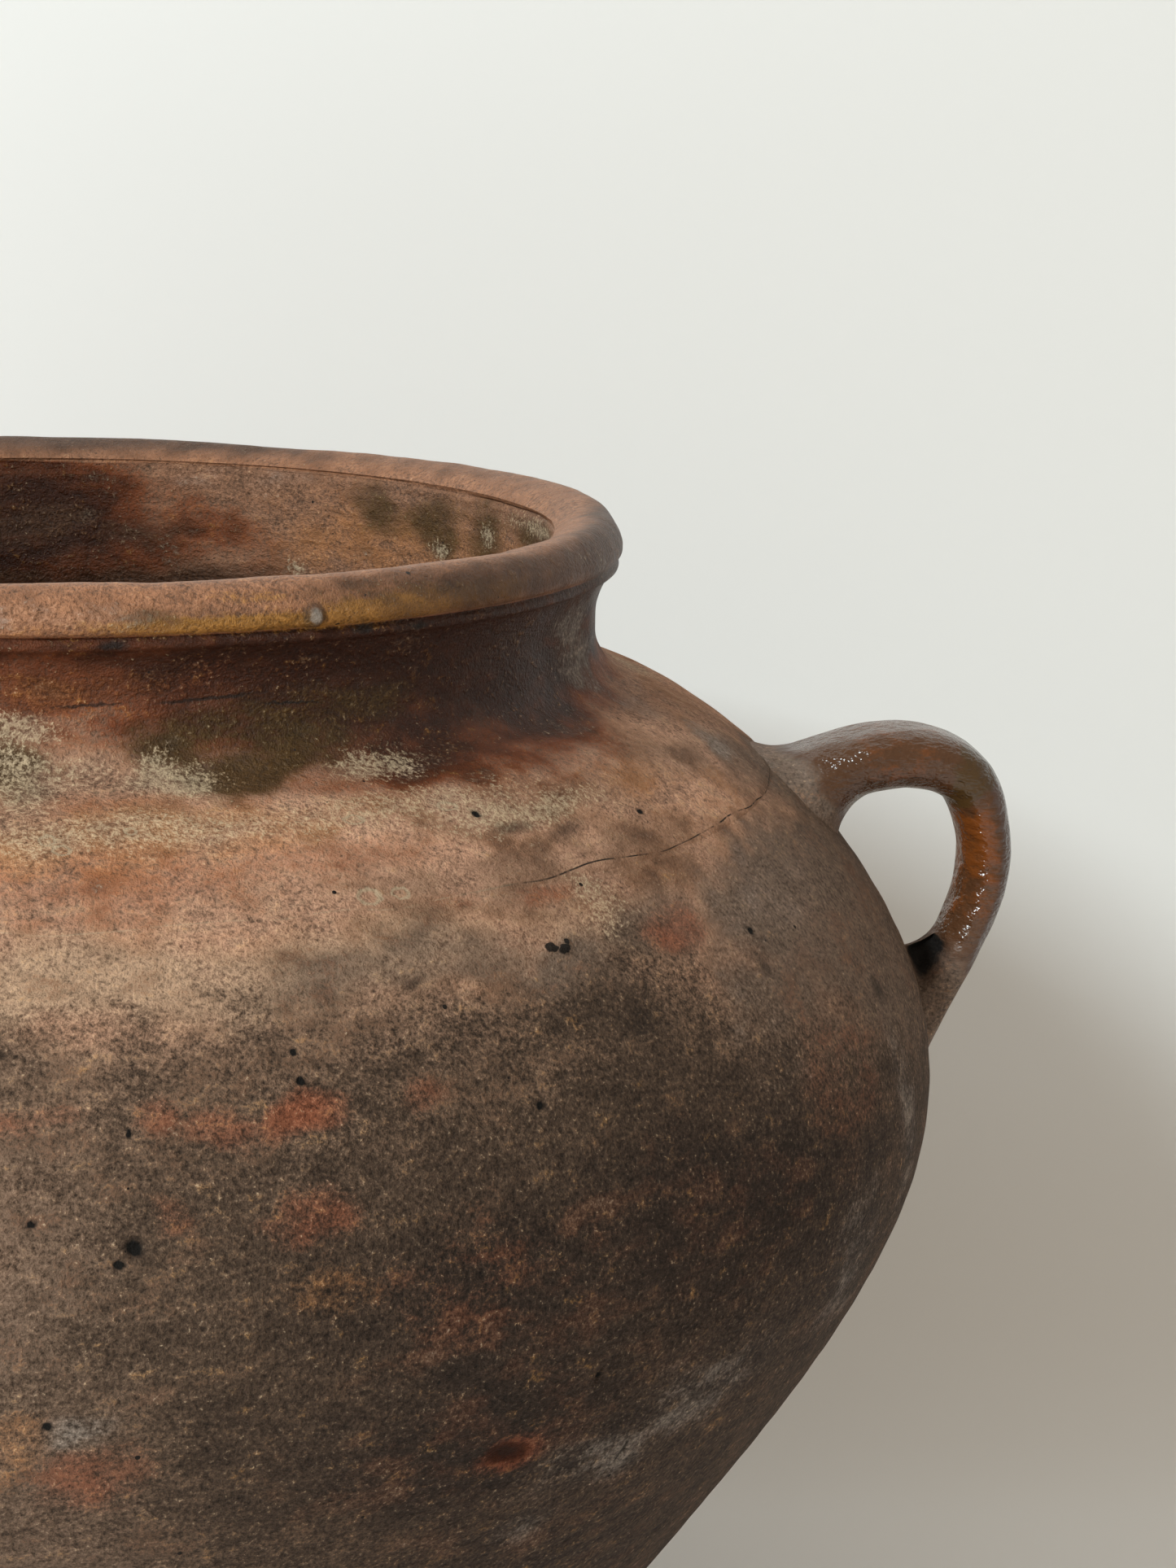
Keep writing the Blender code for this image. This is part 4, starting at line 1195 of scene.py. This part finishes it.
def fired_clay(tree, place, noise):
    """Colour, roughness and relief of the bare clay with all that the kiln left on it. A layer is
    its field, colour, noise, how much that noise and the sand tear it, its two thresholds and
    how much it covers at most."""
    scene = bpy.context.scene
    clay, glaze = scene.urn_clay, scene.urn_glaze
    under_smoke = (
        ("sand", clay.sand, "smear", 0.8, 0.5, 0.2, 1.0, 0.75),
        ("tan", clay.tan, "smear", 1.0, 0.5, 0.1, 1.1, 0.85),
        ("ash", clay.ash, "smear", 0.5, 0.3, 0.05, 0.8, 0.92),
        ("lip", clay.lip, "smear", 0.3, 0.2, 0.2, 0.6, 0.85),
        ("throat", clay.throat, "smear", 0.5, 0.2, 0.2, 0.7, 0.92),
        ("iron", clay.rust, "smear", 0.6, 0.4, 0.0, 0.6, 0.95),
        ("iron", clay.neck, "smear", 0.8, 0.4, 0.35, 1.0, 0.97),
    )
    over_smoke = (
        ("ochre", clay.orange, "smear", 0.7, 0.5, 0.2, 1.3, 0.6),
        ("soot", clay.iron, "smear", 2.2, 0.4, 1.0, 2.4, 0.16),
        ("red", clay.iron, "smear", 0.7, 0.5, 0.2, 1.3, 0.62),
        ("gold", glaze.rim_ochre, "clump", 0.9, 0.7, 0.2, 1.2, 0.8),
        ("mauve", glaze.rim_mauve, "smear", 0.8, 0.6, 0.1, 1.0, 0.9),
        ("olive", clay.olive, "smear", 0.9, 0.6, 0.1, 1.0, 0.92),
        ("lime", clay.lime, "sand", 1.6, 0.0, 0.4, 1.1, 0.7),
        # grey salts, and a painted sheen and highlight where the bloom stains are placed for them
        ("bloom_and_sheen", clay.bloom_and_sheen, "smear", 1.4, 0.7, 0.3, 1.7, 0.6),
    )
    colour = laid_over(tree, noise, bare_clay(tree, noise, clay), under_smoke)
    colour = laid_over(tree, noise, smoked(tree, noise, clay, colour), over_smoke)

    # the sand's light and dark grains, and the softer clouding of hands and smoke
    for name, dark, light in (("sand", 0.36, 1.64), ("clump", 0.8, 1.2), ("smear", 0.86, 1.14)):
        level = {"Value": noise[name], "To Min": dark, "To Max": light}
        scaled = {0: colour, "Scale": add(tree, "ShaderNodeMapRange", level).outputs[0]}
        colour = add(tree, "ShaderNodeVectorMath", scaled, operation="SCALE").outputs[0]

    hole = pinholes(tree, place)
    mixed = {0: hole, 6: colour, 7: (*clay.soot, 1)}
    colour = add(tree, "ShaderNodeMix", mixed, data_type="RGBA").outputs[2]
    colour = hairline(tree, place, noise, clay, colour)
    colour = small_marks(tree, place, clay, colour)

    # glossier where slip or glaze melted
    rough = BARE_ROUGHNESS
    melted = {
        "iron": 0.42,
        "lip": 0.42,
        "throat": 0.36,
        "olive": 0.45,
        "gold": 0.32,
        "mauve": 0.4,
        "bloom_and_sheen": 0.75,
    }
    for field, level in melted.items():
        strength = add(tree, "ShaderNodeAttribute", attribute_name=field).outputs["Fac"]
        rough = add(tree, "ShaderNodeMix", {0: strength, 2: rough, 3: level}).outputs[0]
    relief = roughened(tree, noise, noise["clump"], ("sand", 0.9))
    sunk = {0: hole, 1: -1.0, 2: relief}
    relief = add(tree, "ShaderNodeMath", sunk, operation="MULTIPLY_ADD").outputs[0]
    bump = {"Height": relief, "Strength": 1.0, "Distance": scene.urn_relief.grain}
    return colour, rough, add(tree, "ShaderNodeBump", bump).outputs[0]


def put_surface(tree, colour, rough, normal, gloss):
    """Surface of fired clay or glaze, with how much mirror light it gives back."""
    inputs = {"Base Color": colour, "Roughness": rough, "Normal": normal}
    inputs["Specular IOR Level"] = gloss
    shader = add(tree, "ShaderNodeBsdfPrincipled", inputs)
    add(tree, "ShaderNodeOutputMaterial", {"Surface": shader.outputs[0]})


def wall_material(name, gloss):
    """Smoke-fired sandy earthenware: oxidised pink clay, a sandy band, tan and ash-grey clay by
    the handles, soot below, flashes of iron and ochre, ash glaze and lime specks at the neck's
    foot. Bare clay is dry and grainy and gives back little mirror light; the slip on the neck
    and lip melted a little and shines more."""
    material, tree = new_material(name)
    place = add(tree, "ShaderNodeTexCoord").outputs["Object"]
    put_surface(tree, *fired_clay(tree, place, noises(tree, place)), gloss)
    return material


def handle_material(name):
    """Run lead glaze over the pulled strap: wet and orange where it pooled thick, plum outside
    where it is thin, puckered like orange peel, and dull at the roots where the clay takes
    over."""
    scene = bpy.context.scene
    clay, glaze = scene.urn_clay, scene.urn_glaze
    material, tree = new_material(name)
    place = add(tree, "ShaderNodeTexCoord").outputs["Object"]
    noise = noises(tree, place)
    colour, rough, _ = fired_clay(tree, place, noise)
    layers = (
        ("glazed", glaze.umber, "smear", 0.6, 0.3, 0.15, 0.8, 0.92),
        ("amber", glaze.amber, "clump", 1.0, 0.4, 0.25, 1.1, 0.9),
        ("plum", glaze.plum, "clump", 0.8, 0.3, 0.25, 1.0, 0.85),
        ("tarnish", clay.olive, "clump", 0.6, 0.3, 0.3, 0.8, 0.75),
        ("pale", clay.bloom_and_sheen, "smear", 1.4, 0.5, 0.3, 1.4, 0.5),
        # painted shade: near-black colour laid into the hollow under the lower root, where the
        # strap shades the wall
        ("hollow_and_shade", clay.black_slag_and_shade, "clump", 0.4, 0.3, 0.15, 0.6, 0.97),
    )
    colour = laid_over(tree, noise, colour, layers)
    cover = add(tree, "ShaderNodeAttribute", attribute_name="glazed").outputs["Fac"]
    rough = add(tree, "ShaderNodeMix", {0: cover, 2: rough, 3: GLAZE_ROUGHNESS}).outputs[0]
    peel = {"Height": noise["clump"], "Strength": 1.0, "Distance": scene.urn_relief.pucker}
    normal = add(tree, "ShaderNodeBump", peel).outputs[0]
    put_surface(tree, colour, rough, normal, GLAZE_GLOSS)
    return material


def finish_piece(piece, material, slot, *nodes):
    piece.data.materials.append(material)
    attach(piece, "root")
    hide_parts(*nodes)


def throw(context, material, sections):
    """Turns each outline into a piece that stands for its node."""
    for name, slot, node, outline in sections:
        piece = turned_piece(name, context.scene.urn_relief, *outline)
        finish_piece(piece, material, slot, node)


class URN_OT_wall(Operator):
    """Builds the base and the three thrown sections up to the neck's foot"""

    bl_idname = "urn.wall"
    bl_label = "Thrown wall"

    def execute(self, context):
        lower = wall_outline(BASE_JOINT, BELLY_JOINT, 92, 14)
        belly = wall_outline(BELLY_JOINT, SHOULDER_JOINT, 88, 12)
        shoulder = wall_outline(SHOULDER_JOINT, NECK_JOINT, 34, 8)
        sections = (
            ("thrown_base", "sooty_terracotta", "base_pad", base_outline()),
            ("thrown_lower_wall", "sooty_terracotta", "lower_wall", lower),
            ("thrown_belly", "sooty_terracotta", "belly_wall", belly),
            ("thrown_shoulder", "sandy_terracotta", "shoulder_wall", shoulder),
        )
        throw(context, wall_material("smoke_fired_terracotta", BARE_GLOSS), sections)
        return {"FINISHED"}


class URN_OT_neck(Operator):
    """Builds the neck with its bead, and the rolled lip over it"""

    bl_idname = "urn.neck"
    bl_label = "Neck and rim"

    def execute(self, context):
        sections = (
            ("thrown_neck", "iron_red_terracotta", "neck_collar", neck_outline()),
            ("rolled_rim", "thin_ochre_glaze", "rim_coil", rim_outline()),
        )
        throw(context, wall_material("slipped_terracotta", SLIP_GLOSS), sections)
        return {"FINISHED"}


class URN_OT_handles(Operator):
    """Builds the two pulled strap handles with their roots"""

    bl_idname = "urn.handles"
    bl_label = "Pulled handles"

    def execute(self, context):
        material = handle_material("amber_lead_glaze")
        for side, half_turn in (("right", False), ("left", True)):
            piece = handle_piece(f"pulled_handle_{side}", half_turn)
            nodes = [f"handle_{part}_{side}" for part in ("strap", "upper_root", "lower_root")]
            finish_piece(piece, material, "amber_lead_glaze", *nodes)
        return {"FINISHED"}


def sweep(backdrop):
    """Seamless paper: floor, quarter-round bend and upright back as one profile carried along X."""
    turn = np.linspace(-math.pi / 2, 0, 24)
    curve = PAPER_BEND * np.stack([np.cos(turn), np.sin(turn)], axis=1)
    curve += (backdrop - PAPER_BEND, PAPER_BEND)
    profile = np.concatenate([[(PAPER_FRONT, 0.0)], curve, [(backdrop, PAPER_TOP)]])
    places = np.empty((len(profile), 2, 3))
    places[..., 0] = (-PAPER_HALF_WIDTH, PAPER_HALF_WIDTH)
    places[..., 1:] = profile[:, None]
    row = 2 * np.arange(len(profile) - 1)
    faces = np.stack([row, row + 1, row + 3, row + 2], axis=1)
    return put_mesh("paper_sweep", places, faces.tolist(), {})


def place_window(power, tint):
    """Window at the left behind the camera, as a rectangle of light turned to the urn."""
    data = bpy.data.lights.new("window", "AREA")
    data.shape = "RECTANGLE"
    data.size, data.size_y = WINDOW_SIZE
    data.energy = power
    data.color = tint
    light = bpy.data.objects.new("window", data)
    light.location = WINDOW_PLACE
    towards = Vector(WINDOW_TARGET) - light.location
    light.rotation_euler = towards.to_track_quat("-Z", "Y").to_euler()
    bpy.context.scene.collection.objects.link(light)


def place_camera():
    """The photograph's view, from the place, angles and lens given at the top."""
    data = bpy.data.cameras.new("front_camera")
    data.sensor_width = CAMERA_SENSOR
    data.lens = CAMERA_LENS
    data.clip_start = 0.01
    camera = bpy.data.objects.new("front_camera", data)
    turn = Matrix.Rotation(math.radians(-CAMERA_TURN), 4, "Z")
    dip = Matrix.Rotation(math.radians(90 - CAMERA_DIP), 4, "X")
    roll = Matrix.Rotation(CAMERA_ROLL, 4, "Z")
    camera.matrix_world = Matrix.Translation(CAMERA_PLACE) @ turn @ dip @ roll
    bpy.context.scene.collection.objects.link(camera)
    bpy.context.scene.camera = camera


class URN_OT_stage(Operator):
    """Builds the paper sweep, the window and room light, and the camera"""

    bl_idname = "urn.stage"
    bl_label = "Stage"

    def execute(self, context):
        scene = context.scene
        stage = scene.urn_stage
        paper, tree = new_material("matt_paper")
        matt = {"Base Color": (*stage.paper, 1), "Roughness": 0.95}
        matt = add(tree, "ShaderNodeBsdfPrincipled", matt).outputs[0]
        # matt paper gives the eye one soft white with no highlight; it is clear from behind, so
        # that the urn's back can be looked at with the sweep in place
        clear = add(tree, "ShaderNodeBsdfTransparent").outputs[0]
        behind = add(tree, "ShaderNodeNewGeometry").outputs["Backfacing"]
        seen = add(tree, "ShaderNodeLightPath").outputs["Is Camera Ray"]
        both = add(tree, "ShaderNodeMath", {0: behind, 1: seen}, operation="MULTIPLY").outputs[0]
        shader = add(tree, "ShaderNodeMixShader", {0: both, 1: matt, 2: clear}).outputs[0]
        add(tree, "ShaderNodeOutputMaterial", {"Surface": shader})
        floor = sweep(stage.backdrop)
        floor.data.materials.append(paper)
        place_window(stage.window, stage.daylight)
        scene.world = bpy.data.worlds.new("room")
        scene.world.use_nodes = True
        room = scene.world.node_tree.nodes["Background"].inputs
        room["Color"].default_value = (*stage.room, 1)
        room["Strength"].default_value = stage.fill
        scene.view_settings.view_transform = "Standard"
        place_camera()
        return {"FINISHED"}


class URN_PT_parts(Panel):
    """Lists the urn's pieces and settings in the sidebar"""

    bl_label = "Twin-handled urn"
    bl_space_type = "VIEW_3D"
    bl_region_type = "UI"
    bl_category = "Urn"

    def draw(self, context):
        layout = self.layout
        for operator in OPERATORS:
            layout.operator(operator.bl_idname)
        for group, settings in SETTINGS.items():
            layout.label(text=settings.__doc__)
            for name in settings.__annotations__:
                layout.prop(getattr(context.scene, group), name)


OPERATORS = (URN_OT_wall, URN_OT_neck, URN_OT_handles, URN_OT_stage)
SETTINGS = {
    "urn_relief": UrnRelief,
    "urn_clay": UrnClay,
    "urn_glaze": UrnGlaze,
    "urn_stage": UrnStage,
}


def register():
    for kind in (*SETTINGS.values(), *OPERATORS, URN_PT_parts):
        bpy.utils.register_class(kind)
    for group, settings in SETTINGS.items():
        setattr(bpy.types.Scene, group, PointerProperty(type=settings))


def unregister():
    for group in SETTINGS:
        delattr(bpy.types.Scene, group)
    for kind in (URN_PT_parts, *OPERATORS, *SETTINGS.values()):
        bpy.utils.unregister_class(kind)


def main():
    register()
    bpy.ops.urn.wall()
    bpy.ops.urn.neck()
    bpy.ops.urn.handles()
    bpy.ops.urn.stage()


if __name__ == "__main__":
    main()
